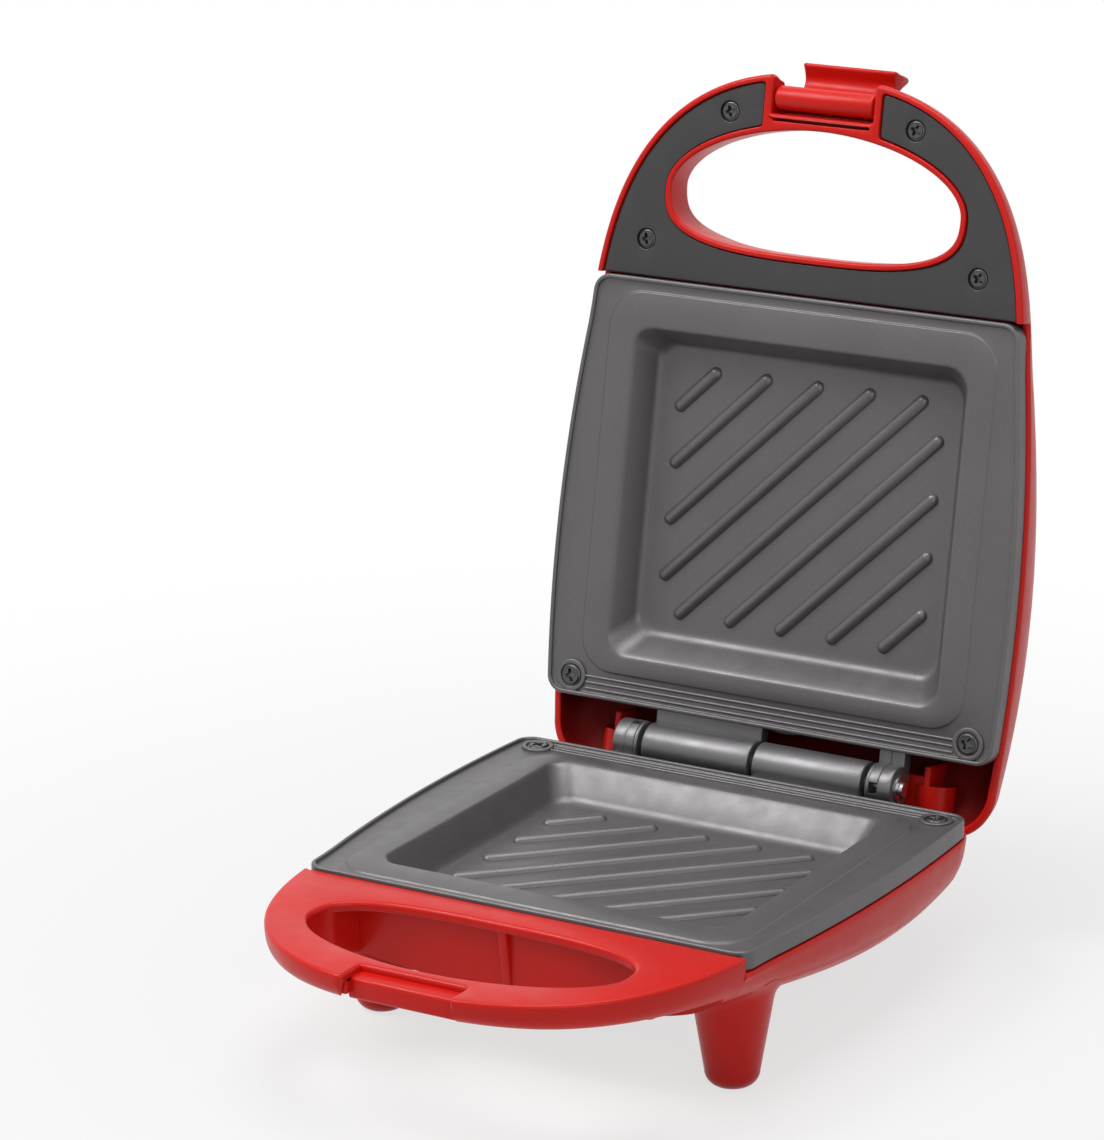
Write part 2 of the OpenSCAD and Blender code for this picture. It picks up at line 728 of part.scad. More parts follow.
// Screw with its head's top at t = 0, driven outward
module screw(head_r, head_h, shank_r, length) {
    cross_head(head_r, head_h);
    translate([0, 0, head_h]) cylinder(r = shank_r, h = length);
}
module leg_screws() color(steel) on_base() leg_places() {
    translate([0, 0, leg_pad_t - leg_head_h]) screw(leg_head_r, leg_head_h, leg_screw_r, front_leg_screw_l);
    translate([0, 0, rear_pad_t - leg_head_h]) screw(leg_head_r, leg_head_h, leg_screw_r, rear_leg_screw_l);
}

module inlet_place() on_face(inlet_x, inlet_d, belly_h) children();
// Bush for the supply cord in the underside, near the hinge end
module cord_inlet() color(dark_grey) on_base() inlet_place() difference() {
    union() {
        translate([0, 0, -wall - flange_h]) cylinder(r = inlet_r, h = wall + flange_h + 0.4);
        translate([0, 0, 0.2]) cylinder(r = inlet_r + flange_w, h = flange_h);
        translate([0, 0, -wall - nut_h - 0.4]) cylinder(r = inlet_r + nut_w, h = nut_h);
    }
    translate([0, 0, -10]) cylinder(r = inlet_bore_r, h = 20);
}

module storage_studs() color(red) on_lid() difference() {
    both_sides() translate([stud_x, 0, stud_t]) rotate([90, 0, 0]) {
        translate([0, 0, lid_rear - stud_root]) cylinder(r = stud_r, h = stud_root + stud_l - stud_round);
        translate([0, 0, lid_rear + stud_l - stud_round - eps])
            cylinder(r1 = stud_r, r2 = stud_r - stud_round, h = stud_round);
    }
    lid_body(0, deck_t, 0);
}

// ---------------------------------------------------------------- plates

module plate_outline(g) {
    r = plate_corner_r;
    corner_x = side_x(plate_rear + r) - plate_inset - r + g;
    front_x = side_x(plate_front - r) - plate_inset - r + g;
    steps = 12;
    sides = [for (i = [0:steps]) let(d = plate_rear + r + (plate_front - plate_rear - 2 * r) * i / steps)
        [side_x(d) - plate_inset + g, d]];
    rear = [for (a = [-90:15:-15]) [corner_x + r * cos(a), plate_rear + r - g + r * sin(a)]];
    front = [for (a = [15:15:90]) [front_x + r * cos(a), plate_front - r + g + r * sin(a)]];
    right = concat(rear, sides, front);
    polygon(concat(right, [for (i = [len(right) - 1:-1:0]) [-right[i][0], right[i][1]]]));
}
module rounded_block(half_x, d0, d1, r, t0, h) translate([0, 0, t0]) linear_extrude(h)
    union() {
        translate([-half_x + r, d0]) square([2 * (half_x - r), d1 - d0]);
        translate([-half_x, d0 + r]) square([2 * half_x, d1 - d0 - 2 * r]);
        for (x = [-half_x + r, half_x - r], d = [d0 + r, d1 - r]) translate([x, d]) circle(r);
    }
// Rectangular pocket with sloping sides, grown by g
module pocket(g, t0, t1) {
    run = (t1 - t0) / pocket_depth;
    rear = pocket_rear + pocket_r;
    front = pocket_front - pocket_r;
    x = pocket_half_w - pocket_r;
    low_x = x - pocket_slope * run;
    module corner(x, d, t) translate([x, d, t]) cylinder(r = pocket_r + g, h = eps, $fn = 32);
    hull() {
        for (s = [-1, 1], d = [rear, front]) corner(s * x, d, t0);
        for (s = [-1, 1], d = [rear + pocket_slope_rear * run, front - pocket_slope * run])
            corner(s * low_x, d, t1);
    }
}
// Rounded bars at 45 degrees, cut off at the edges of the ribbed field
module ribs() {
    mid_d = (pocket_rear + pocket_slope_rear + pocket_front - pocket_slope) / 2;
    for (k = [-(rib_count - 1) / 2:(rib_count - 1) / 2]) {
        c = k * rib_pitch * sqrt(2);
        x0 = max(-rib_half_w, c - rib_half_l);
        x1 = min(rib_half_w, c + rib_half_l);
        length = (x1 - x0) * sqrt(2);
        translate([x0, mid_d + c - x0, floor_t + rib_r - rib_h]) rotate([0, 0, -45]) {
            rotate([0, 90, 0]) cylinder(r = rib_r, h = length, $fn = 24);
            sphere(rib_r, $fn = 24);
            translate([length, 0, 0]) sphere(rib_r, $fn = 24);
        }
    }
}
// Barrel round the hinge axis with its web to the plate's rear wall
module barrel(x0, w, bore_r) difference() {
    across(x0, x0 + w) union() {
        circle(barrel_r);
        polygon([[0, 0], [0, barrel_r], [web_d, barrel_r], [web_d, band_t], web_tangent]);
    }
    across(x0 - 1, x0 + w + 1) circle(bore_r);
}

module clamp_places() for (x = [-clamp_screw_x, clamp_screw_x]) translate([x, clamp_d, 0]) children();
module clamp_studs() clamp_places() difference() {
    translate([0, 0, under_t - 1]) cylinder(r = clamp_stud_r, h = clamp_t - under_t + 1);
    translate([0, 0, under_t]) cylinder(r = clamp_bore_r, h = far);
}

module casting(bore_r) difference() {
    union() {
        difference() {
            union() {
                translate([0, 0, lip_t]) linear_extrude(skirt_t - lip_t) plate_outline(0);
                pocket(cast_wall, band_t, under_t);
            }
            translate([0, 0, -1]) linear_extrude(1 + band_t) plate_outline(-lip_w);
            // hollow between the skirt and the pocket
            difference() {
                translate([0, 0, band_t + cast_wall]) linear_extrude(far) plate_outline(-cast_wall);
                pocket(cast_wall, band_t, under_t);
                both_sides() translate([plate_screw_x, plate_screw_d, 0]) cylinder(r = plate_boss_r, h = far);
            }
        }
        rounded_block(ledge_half_w, ledge_rear, ledge_front, ledge_r, ledge_t, ledge_h + eps);
        for (k = [0:line_count - 1])
            translate([-plate_screw_x + line_end, plate_rear + lip_w + line_first + k * line_pitch, ledge_t])
                cube([2 * (plate_screw_x - line_end), line_w, ledge_h + eps]);
        both_sides() translate([plate_screw_x, plate_screw_d, ledge_t - 0.2])
            cylinder(r = plate_head_r + screw_ring_w, h = ledge_h + 0.2);
        clamp_studs();
        barrel(barrel_gap / 2, broad_w, bore_r);
        barrel(-narrow_x - narrow_w, narrow_w, bore_r);
    }
    pocket(0, ledge_t - eps, floor_t);
    // screw holes and the slot that shows the pin
    both_sides() translate([plate_screw_x, plate_screw_d, -1]) {
        cylinder(r = plate_head_r + head_fit, h = 1 + band_t + 0.2);
        cylinder(r = plate_shank_r + head_fit, h = far);
    }
    translate([-narrow_x - slot_inset - slot_w, -slot_l / 2, -far]) cube([slot_w, slot_l, far]);
}
module plate(bore_r) {
    casting(bore_r);
    intersection() {
        ribs();
        translate([-far, -far, 0]) cube([2 * far, 2 * far, floor_t + cast_wall / 2]);
    }
}
module lower_plate() color(plate_grey) on_base() plate(pin_r);
module upper_plate() color(plate_grey) on_lid() plate(pin_r + pin_fit);

module plate_screws() both_sides() translate([plate_screw_x, plate_screw_d, lip_t + 0.1])
    screw(plate_head_r, band_t + 0.2 - lip_t - 0.1, plate_shank_r, plate_screw_l);
module lower_plate_screws() color(dark_grey) on_base() plate_screws();
module upper_plate_screws() color(dark_grey) on_lid() plate_screws();

// The pin is pressed into the lower plate's barrels and its ends stand out of the last ones
module hinge_pin() color(steel) on_base() {
    difference() {
        across(-pin_end - 1.2, pin_end + 2.4) circle(pin_r);
        across(pin_end + 0.4, pin_end + 1.4) difference() {
            circle(pin_r + 1);
            circle(pin_r - 0.5);
        }
    }
    across(-pin_end - 1.6, -pin_end - 0.2) circle(pin_r + 1);
}
module hinge_pin_clip() color(steel) on_base() difference() {
    across(pin_end + 0.5, pin_end + 1.3) circle(pin_r + 1.6);
    across(pin_end, pin_end + 2) circle(pin_r - 0.45);
    translate([pin_end, -0.9, 0]) cube([2, 1.8, far]);
}

// ---------------------------------------------------------------- heating parts

module element() {
    straight = element_bend_d - element_rear;
    for (x = [-1, 1]) translate([x * element_half_w, element_rear, element_t]) rotate([-90, 0, 0]) {
        cylinder(r = element_r, h = straight);
        translate([0, 0, -terminal_pin_l]) cylinder(r = terminal_pin_r, h = terminal_pin_l);
        translate([0, 0, -collar_l]) cylinder(r = collar_r, h = collar_l);
    }
    translate([0, element_bend_d, element_t]) rotate_extrude(angle = 180)
        translate([element_half_w, 0]) circle(element_r);
}
module lower_element() color(steel) on_base() element();
module upper_element() color(steel) on_lid() element();

module clamp() difference() {
    x = element_half_w + element_r + clamp_margin;
    translate([-x, clamp_d - clamp_w / 2, clamp_t]) cube([2 * x, clamp_w, clamp_th]);
    clamp_places() cylinder(r = clamp_hole_r, h = far);
}
module lower_clamp() color(steel) on_base() clamp();
module upper_clamp() color(steel) on_lid() clamp();
module clamp_screws() clamp_places() translate([0, 0, clamp_t + clamp_th + clamp_head_h])
    mirror([0, 0, 1]) screw(clamp_head_r, clamp_head_h, clamp_shank_r, clamp_screw_l);
module lower_clamp_screws() color(steel) on_base() clamp_screws();
module upper_clamp_screws() color(steel) on_lid() clamp_screws();

// Tray that stands against the pocket's underside and covers the element
module heat_shield() difference() {
    l = shield_front - shield_rear;
    x = shield_half_w - shield_th;
    translate([-shield_half_w, shield_rear, shield_t]) cube([2 * shield_half_w, l, shield_h]);
    translate([-x, shield_rear + shield_th, shield_t - 1])
        cube([2 * x, l - 2 * shield_th, shield_h + 1 - shield_th]);
    // notches for the element's ends and its bend
    for (x = [-1, 1]) translate([x * element_half_w - shield_notch, shield_rear - 1, shield_t - 1])
        cube([2 * shield_notch, 3, shield_notch_h]);
    translate([-element_half_w - shield_notch, shield_front - 2, shield_t - 1])
        cube([2 * (element_half_w + shield_notch), 4, shield_notch_h]);
}
module lower_heat_shield() color(steel) on_base() heat_shield();
module upper_heat_shield() color(steel) on_lid() heat_shield();

module thermostat() color(steel) on_base() translate([0, thermostat_d, under_t + 0.1]) {
    cylinder(r = thermostat_r, h = can_h);
    translate([0, 0, can_h]) cylinder(r = cap_r, h = cap_h);
    for (x = [-1, 1]) translate([x * (thermostat_r + 1) - tab_l / 2, -tab_w / 2, can_h + 0.4])
        cube([tab_l, tab_w, tab_th]);
}
module thermal_fuse() color(steel) on_base() translate([0, fuse_d, under_t + fuse_r + 0.2]) {
    across(-fuse_half_l, fuse_half_l) circle(fuse_r);
    for (x = [-fuse_half_l - fuse_lead_l, fuse_half_l]) across(x, x + fuse_lead_l) circle(fuse_lead_r);
}
module terminal_block() color("#e6e2d6") on_base() difference() {
    translate([-terminal_l / 2, terminal_d, terminal_floor_t - terminal_h - 0.1])
        cube([terminal_l, terminal_w, terminal_h]);
    for (k = [-1:1]) translate([k * terminal_pitch, terminal_d - 1, terminal_floor_t - terminal_h / 2])
        rotate([-90, 0, 0]) cylinder(r = terminal_bore_r, h = terminal_w + 2);
}
// Two leads from the terminal block to the ends of the element
module base_leads() color("#d8c8a0") on_base() both_sides()
    translate([terminal_l / 2 + lead_gap, terminal_d + lead_r, element_t]) rotate([0, 90, 0])
        cylinder(r = lead_r, h = element_half_w - terminal_pin_r - terminal_l / 2 - 2 * lead_gap);

// ---------------------------------------------------------------- handle cover

module handle_cover() color(dark_grey) on_lid() translate([0, 0, deck_t + cover_sink]) difference() {
    cover_recess(-cover_gap, step_d + cover_gap, cover_th);
    cover_screw_places() {
        translate([0, 0, -1]) cylinder(r = cover_head_r + cover_head_room, h = 1 + cover_th - cover_floor);
        cylinder(r = cover_shank_r + head_fit, h = far);
    }
}
module cover_screws() color(dark_grey) on_lid()
    translate([0, 0, deck_t + cover_sink + 0.1]) cover_screw_places()
        screw(cover_head_r, cover_th - cover_floor - 0.1, cover_shank_r, cover_screw_l);

// ---------------------------------------------------------------- indicator

module indicator_place() on_face(0, lens_d, 0) children();
module lens_prism(g, h) linear_extrude(h)
    polygon([for (a = [0:5:355]) [(lens_half_w + g) * cos(a), (lens_half_h + g) * sin(a)]]);
module indicator_bezel() color(red) on_lid() indicator_place() difference() {
    union() {
        translate([0, 0, 0.1]) lens_prism(bezel_w, bezel_h);
        translate([0, 0, -wall - lens_sleeve]) lens_prism(sleeve_w, wall + lens_sleeve + 0.2);
    }
    translate([0, 0, -far / 2]) lens_prism(lens_fit, far);
}
module indicator_lens() color("#ff2010") on_lid() indicator_place()
    translate([0, 0, -wall]) lens_prism(0, wall + bezel_h);
// Small glow lamp on a board that closes the sleeve
module indicator_lamp() color("#f0e8d8") on_lid() indicator_place() translate([0, 0, -wall - lens_sleeve]) {
    translate([0, 0, -board_th]) lens_prism(sleeve_w, board_th);
    translate([-lamp_half_l / 2, -1, -0.1]) cube([lamp_half_l, 2, lamp_r]);
    translate([0, 0, lamp_r + 0.3]) across(-lamp_half_l, lamp_half_l) circle(lamp_r);
}

// ---------------------------------------------------------------- latch

// Shape of the latch's leaf when shut, round its pivot: bowed leaf, round hook and finger edge
module leaf_profile() {
    hook_r = leaf_deep - leaf_in + hook_gap + bar_round + 0.1;
    hook_curve = [for (a = [-90:15:0]) [leaf_deep + hook_r * (cos(a) - 1), hook_r * (sin(a) + 1) - hook_t]];
    polygon(concat(
        [[-1, 0], [0, latch_barrel_r - 0.4], [2, latch_barrel_r - 0.8], [leaf_deep - 0.3, 0.8],
            [leaf_out - 1, -2], [leaf_out - 0.2, -5.5], [leaf_out, -9], [leaf_out - 0.4, -12.5],
            [leaf_out - 1, -hook_t - 2], [leaf_out - 0.7, finger_v + 1.3], [finger_u, finger_v],
            [finger_u - 1, finger_v - 0.3], [leaf_in - 0.6, -hook_t - 4.2], [0.2, -hook_t - 2.4],
            [hook_tip_u + 0.3, -hook_t - 1.5], [hook_tip_u, -hook_t - 0.6], [hook_tip_u + 0.4, -hook_t]],
        hook_curve,
        [[leaf_deep, -8], [leaf_in + leaf_bow / 2, -5.5], [leaf_in, -3]]));
}
module latch() color(red) on_lid() translate([0, pivot_d, pivot_t]) rotate([latch_swing, 0, 0])
    difference() {
        union() {
            across(-latch_half_w, latch_half_w) leaf_profile();
            across(-latch_half_w, latch_half_w) circle(latch_barrel_r);
        }
        across(-latch_half_w - 1, latch_half_w + 1) circle(latch_pin_r + pin_fit);
    }
module latch_pin() color(steel) on_lid() translate([0, pivot_d, pivot_t])
    across(-housing_half_w + 0.3, housing_half_w - 0.3) circle(latch_pin_r);

base_casing();
front_legs();
rear_legs();
leg_screws();
lower_plate();
lower_plate_screws();
lower_element();
lower_clamp();
lower_clamp_screws();
lower_heat_shield();
thermostat();
thermal_fuse();
terminal_block();
base_leads();
cord_inlet();
hinge_pin();
hinge_pin_clip();
lid_casing();
handle_cover();
cover_screws();
upper_plate();
upper_plate_screws();
upper_element();
upper_clamp();
upper_clamp_screws();
upper_heat_shield();
indicator_bezel();
indicator_lens();
indicator_lamp();
storage_studs();
latch_pin();
latch();
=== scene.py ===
"""Looks of the open sandwich toaster.

Every piece is drawn in a half frame, in millimetres: x across, d forward from the hinge axis
towards the handle, t outward from the plane where the plates meet.  to_base and to_lid carry
such points into the row frame.
"""

import json
import math

import bmesh
import bpy
import numpy as np
from mathutils import Matrix, Vector
from mathutils.geometry import delaunay_2d_cdt


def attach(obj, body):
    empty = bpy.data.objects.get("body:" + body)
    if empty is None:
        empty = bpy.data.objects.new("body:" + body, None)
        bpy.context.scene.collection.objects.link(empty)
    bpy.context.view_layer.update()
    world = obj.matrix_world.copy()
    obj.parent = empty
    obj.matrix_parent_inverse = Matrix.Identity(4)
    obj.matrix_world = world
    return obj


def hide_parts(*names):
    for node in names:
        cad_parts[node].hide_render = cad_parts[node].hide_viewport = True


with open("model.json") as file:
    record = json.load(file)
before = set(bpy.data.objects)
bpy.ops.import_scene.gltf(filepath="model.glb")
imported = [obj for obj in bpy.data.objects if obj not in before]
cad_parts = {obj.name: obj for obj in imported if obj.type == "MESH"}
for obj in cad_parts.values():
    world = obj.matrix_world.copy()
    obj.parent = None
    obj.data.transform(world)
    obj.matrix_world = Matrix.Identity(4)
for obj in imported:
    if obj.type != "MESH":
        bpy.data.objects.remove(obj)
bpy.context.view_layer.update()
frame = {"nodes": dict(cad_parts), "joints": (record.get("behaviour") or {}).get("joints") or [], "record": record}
MM = 0.001

# ------------------------------------------------------------------ sizes, as in the CAD source

HALF_W, FRONT_D, WIDEST_D, SIDE_R = 70.2, 186.8, 48.0, 483.0
ARCH_D, ARCH_N, EASE_D, WALL = 112.0, 2.45, 12.0, 2.2
DEPTH_MAX, DEPTH_FRONT, DOME = 21.5, 8.6, 6.0
BLEND_W, BLEND_N, REAR_RISE = 12.0, 3.2, 9.0
RIM_T, DECK_T, DECK_TH = 5.5, 1.0, 2.6
LID_REAR, LID_CORNER_R, BASE_CORNER_R = 12.0, 14.0, 22.0
OPEN = math.radians(100.3)
STOP_GAP = 0.35
BASE_REAR = LID_REAR * math.cos(OPEN) + RIM_T * math.sin(OPEN) - STOP_GAP
PLATE_FRONT, PLATE_REAR, PLATE_GAP, PLATE_INSET = 127.2, 9.6, 0.3, 0.8
STEP_D = PLATE_FRONT + PLATE_GAP
CENTRE_D, DOME_REACH = 87.0, 101.0
BELLY_H, BELLY_W, BELLY_REAR, BELLY_FRONT, BELLY_EASE = 3.8, 58.0, 40.0, 150.0, 12.0
RISE_D, FALL_L = WIDEST_D - 3, 125.0
DIP_T, DIP_W, DIP_D = 1.25, 45.0, 4.0
HOLE_W, HOLE_D, HOLE_REAR, HOLE_FRONT = 44.8, 152.8, 16.2, 20.3
HOLE_REAR_N, HOLE_FRONT_N = 3.0, 1.9
HOLE_INSET, HOLE_LIP, END_REACH = 1.4, 1.7, 16.5
SCOOP_R, SCOOP_D, SCOOP_T, SCOOP_EASE = 100.0, 152.0, 9.0, 3.0
COVER_INSET, COVER_GAP, COVER_SINK, COVER_TH = 1.7, 0.25, 0.7, 1.9
NOTCH_W, PIVOT_D, PIVOT_T = 15.2, 179.7, 4.5
LATCH_R, SWING = 3.3, math.radians(145)
UNDER_DECK = DECK_T + DECK_TH
WALL_TOP_D = HOLE_D - HOLE_REAR - 2.6
WALL_BACK = 0.06
EDGE_R, STEP_GAP, OVERLAP = 1.0, 0.03, 0.4
BAR_FRONT, BAR_T, CATCH_TOP, CATCH_LOW, CATCH_WALL_D = 181.7, 2.4, 2.8, 8.5, 176.9
HOUSING_REAR, HOUSING_FRONT, HOUSING_T, HOUSING_LOW, NOTCH_WALL_LOW = 175.5, 183.4, 2.6, 6.8, 10.0
NOTCH_D, INTO_WALL = PIVOT_D - LATCH_R - 1.1, 0.5
COVER_TOP = DECK_T + COVER_SINK
SEAT_T = COVER_TOP + COVER_TH
LIP_T, LIP_W, BAND_T, LEDGE_T, SKIRT_T = 0.15, 1.2, 1.15, 0.65, 5.2
LEDGE_W, LEDGE_REAR, LEDGE_FRONT, LEDGE_R = 58.5, 17.4, 123.4, 10.0
POCKET_W, POCKET_REAR, POCKET_FRONT, POCKET_R = 50.3, 23.0, 113.6, 6.0
FLOOR_T, CAST_WALL, SLOPE, SLOPE_REAR = 10.15, 2.0, 4.4, 6.2
RIB_COUNT, RIB_PITCH, RIB_W, RIB_L, RIB_R, RIB_H = 9, 11.1, 39.2, 33.6, 2.0, 1.4
PLATE_SCREW_X, PLATE_SCREW_D, PLATE_HEAD_R = HALF_W - 9.4, 15.0, 2.9
BARREL_R, PIN_R, BARREL_GAP, BROAD_W, NARROW_W, WEB_T = 6.0, 2.0, 1.4, 32.8, 7.6, 1.6
NARROW_X = BARREL_GAP + BROAD_W
SIDE_RIB_GAP, SIDE_RIB_D, SIDE_RIB_LOW = 5.1, 6.3, 17.5
RIB_FOOT_L, RIB_FOOT_D, RIB_FOOT_T, RIB_FOOT_LOW = 8, 3.2, 7.2, 8.7
COVER_SCREWS = ((27.8, FRONT_D - 12.1), (HALF_W - 20.2, 137.8))
COVER_HEAD_R = 2.5
FRONT_LEG, REAR_LEG = (51.6, 110.5, 11.5), (31.0, 20.0, 9.0)
LEG_FOOT_R, LEG_ROUND = 7.1, 4.2
STUD_X, STUD_R, STUD_L = 48.0, 5.6, 4.7
LENS_D, LENS_W, LENS_H, BEZEL_W, BEZEL_H = 12.0, 12.4, 5.2, 3.6, 1.2

joints = {j["name"]: j for j in frame["joints"]}
HINGE_Y, PLANE_H = (v / MM for v in joints["lid_hinge"]["pos_m"][1:])


def smooth(t):
    """0 to 1 with level ends."""
    c = np.clip(t, 0, 1)
    return c * c * (3 - 2 * c)


def side_x(d):
    """Half width of the object's sides."""
    d = np.asarray(d, float)
    slope = (ARCH_D - WIDEST_D) / SIDE_R
    ease = np.where(d > ARCH_D, slope * EASE_D * (1 - np.exp(-np.maximum(d - ARCH_D, 0) / EASE_D)), 0)
    return HALF_W - (np.minimum(d, ARCH_D) - WIDEST_D) ** 2 / (2 * SIDE_R) - ease


def outline_x(d):
    """Half width of a casing's outline, with the arch of the front."""
    a = math.asin((max(0.0, d - ARCH_D) / (FRONT_D - ARCH_D)) ** (ARCH_N / 2))
    return float(side_x(d)) * math.cos(a) ** (2 / ARCH_N)


def edge_depth(d):
    """Depth of a casing just inside its edge."""
    rise = np.maximum(0, RISE_D - d) / (RISE_D + LID_REAR)
    return DEPTH_MAX - (DEPTH_MAX - DEPTH_FRONT) * smooth((d - WIDEST_D) / FALL_L) - REAR_RISE * rise**2


def face_depth(x, d, extra=0.0):
    """Depth of the domed face, with an extra belly in the base."""
    along = 1 - (np.abs(d - CENTRE_D) / DOME_REACH) ** 3
    belly = (1 - np.minimum(1, np.abs(x) / BELLY_W) ** 6) * smooth(d / BELLY_REAR)
    belly = belly * smooth((BELLY_FRONT - d) / BELLY_EASE)
    return edge_depth(d) + extra * belly + DOME * (1 - (x / HALF_W) ** 2) * along


# ------------------------------------------------------------------ plane curves


def curve(cx, cy, r, degrees):
    """Points round part of a circle."""
    a = np.radians(degrees)
    return list(zip(cx + r * np.cos(a), cy + r * np.sin(a)))


def circle(count):
    """Unit points round a full turn."""
    return np.array(curve(0, 0, 1, np.linspace(0, 360, count + 1)[:-1]))


def corner_loop(half_x, d0, d1, r, seg=8):
    """Rounded rectangle with as many points whatever its size."""
    out = []
    for cx, cd, start in ((half_x - r, d1 - r, 0), (-half_x + r, d1 - r, 90),
                          (-half_x + r, d0 + r, 180), (half_x - r, d0 + r, 270)):
        out += curve(cx, cd, r, np.linspace(start, start + 90, seg + 1))
    return np.array(out)


def resample(points, spacing, closed=True):
    """Points an even distance apart along a polyline."""
    p = np.asarray(points, float)
    if closed:
        p = np.vstack([p, p[:1]])
    length = np.concatenate([[0], np.cumsum(np.hypot(*np.diff(p, axis=0).T))])
    count = max(8, int(round(length[-1] / spacing)))
    s = np.linspace(0, length[-1], count + 1)
    out = np.column_stack([np.interp(s, length, p[:, 0]), np.interp(s, length, p[:, 1])])
    return out[:-1] if closed else out


def soften(points, rounds, closed=True):
    """Rounds the corners of an evenly spaced polyline."""
    p = np.asarray(points, float)
    for _ in range(rounds):
        q = 0.5 * p + 0.25 * (np.roll(p, 1, 0) + np.roll(p, -1, 0))
        p = q if closed else np.vstack([p[:1], q[1:-1], p[-1:]])
    return p


def area(points):
    x, y = points[:, 0], points[:, 1]
    return 0.5 * np.sum(x * np.roll(y, -1) - y * np.roll(x, -1))


def normals(points):
    """Outward unit normals of a closed polyline."""
    tangent = np.roll(points, -1, 0) - np.roll(points, 1, 0)
    tangent /= np.maximum(np.hypot(*tangent.T), 1e-9)[:, None]
    n = np.column_stack([tangent[:, 1], -tangent[:, 0]])
    return n if area(points) > 0 else -n


def grow(points, g):
    return points + normals(points) * g


def inside(points, loop):
    """Which points are inside a closed polyline."""
    x, y = points[:, 0][:, None], points[:, 1][:, None]
    x0, y0 = loop[:, 0][None], loop[:, 1][None]
    x1, y1 = np.roll(loop[:, 0], -1)[None], np.roll(loop[:, 1], -1)[None]
    cross = (y0 > y) != (y1 > y)
    at = x0 + (y - y0) * (x1 - x0) / np.where(y1 == y0, 1e-12, y1 - y0)
    return (np.sum(cross & (x < at), axis=1) % 2) == 1


def gap_to(points, loop):
    """Distance from each point to a closed polyline."""
    a, b = loop, np.roll(loop, -1, 0)
    ab = b - a
    best = np.full(len(points), 1e9)
    for i in range(0, len(points), 2000):
        p = points[i:i + 2000, None]
        t = np.clip(np.sum((p - a) * ab, -1) / np.sum(ab * ab, -1), 0, 1)
        best[i:i + 2000] = np.hypot(*np.moveaxis(p - a - t[..., None] * ab, -1, 0)).min(1)
    return best


def casing_outline(rear, r):
    """Plan outline of a casing, dense, from the middle of the front round by the right side."""
    a = np.radians(np.linspace(90, 0, 400))
    d = ARCH_D + (FRONT_D - ARCH_D) * np.sin(a) ** (2 / ARCH_N)
    arch = np.column_stack([side_x(d) * np.maximum(np.cos(a), 0) ** (2 / ARCH_N), d])
    cd = r - rear
    cx = float(side_x(cd)) - r
    d = np.linspace(ARCH_D, cd, 120)[1:]
    side = np.column_stack([side_x(d), d])
    corner = curve(cx, cd, r, np.linspace(0, -90, 40)[1:])
    back = np.column_stack([np.linspace(cx, 0, 40)[1:], np.full(39, -rear)])
    right = np.vstack([arch, side, corner, back])
    return np.vstack([right, right[-2:0:-1] * [-1, 1]])


def hole_outline(g, spacing=1.0):
    """Opening of a handle, grown by g: blunt towards the plate, rounder towards the front."""
    a = np.radians(np.arange(0, 360, 0.5))
    c, s = np.cos(a), np.sin(a)
    power = 2 / np.where(s >= 0, HOLE_FRONT_N, HOLE_REAR_N)
    reach = np.where(s >= 0, HOLE_FRONT, HOLE_REAR) + g
    x = np.sign(c) * (HOLE_W + g) * np.abs(c) ** power
    return resample(np.column_stack([x, HOLE_D + np.sign(s) * reach * np.abs(s) ** power]), spacing)


def rounded_rect(half_x, d0, d1, r, spacing=1.5):
    return resample(corner_loop(half_x, d0, d1, r, 11), spacing)


# ------------------------------------------------------------------ mesh building


def to_base(p):
    """Half frame to metres in the row frame, for the base."""
    p = np.asarray(p, float)
    return np.column_stack([p[:, 0], HINGE_Y - p[:, 1], PLANE_H - p[:, 2]]) * MM


def to_lid(p):
    """The same for the open lid."""
    p = np.asarray(p, float)
    c, s = math.cos(OPEN), math.sin(OPEN)
    return np.column_stack([-p[:, 0], HINGE_Y - p[:, 1] * c + p[:, 2] * s,
                            PLANE_H + p[:, 1] * s + p[:, 2] * c]) * MM


def turned(p, angle, d, t):
    """Points drawn about their own origin, turned and set at (d, t) on the open lid."""
    p = np.asarray(p, float)
    c, s = math.cos(angle), math.sin(angle)
    return to_lid(np.column_stack([p[:, 0], d + p[:, 1] * c - p[:, 2] * s, t + p[:, 1] * s + p[:, 2] * c]))


WELD = 0.004


def new_object(name, data):
    obj = bpy.data.objects.new(name, data)
    bpy.context.scene.collection.objects.link(obj)
    return obj


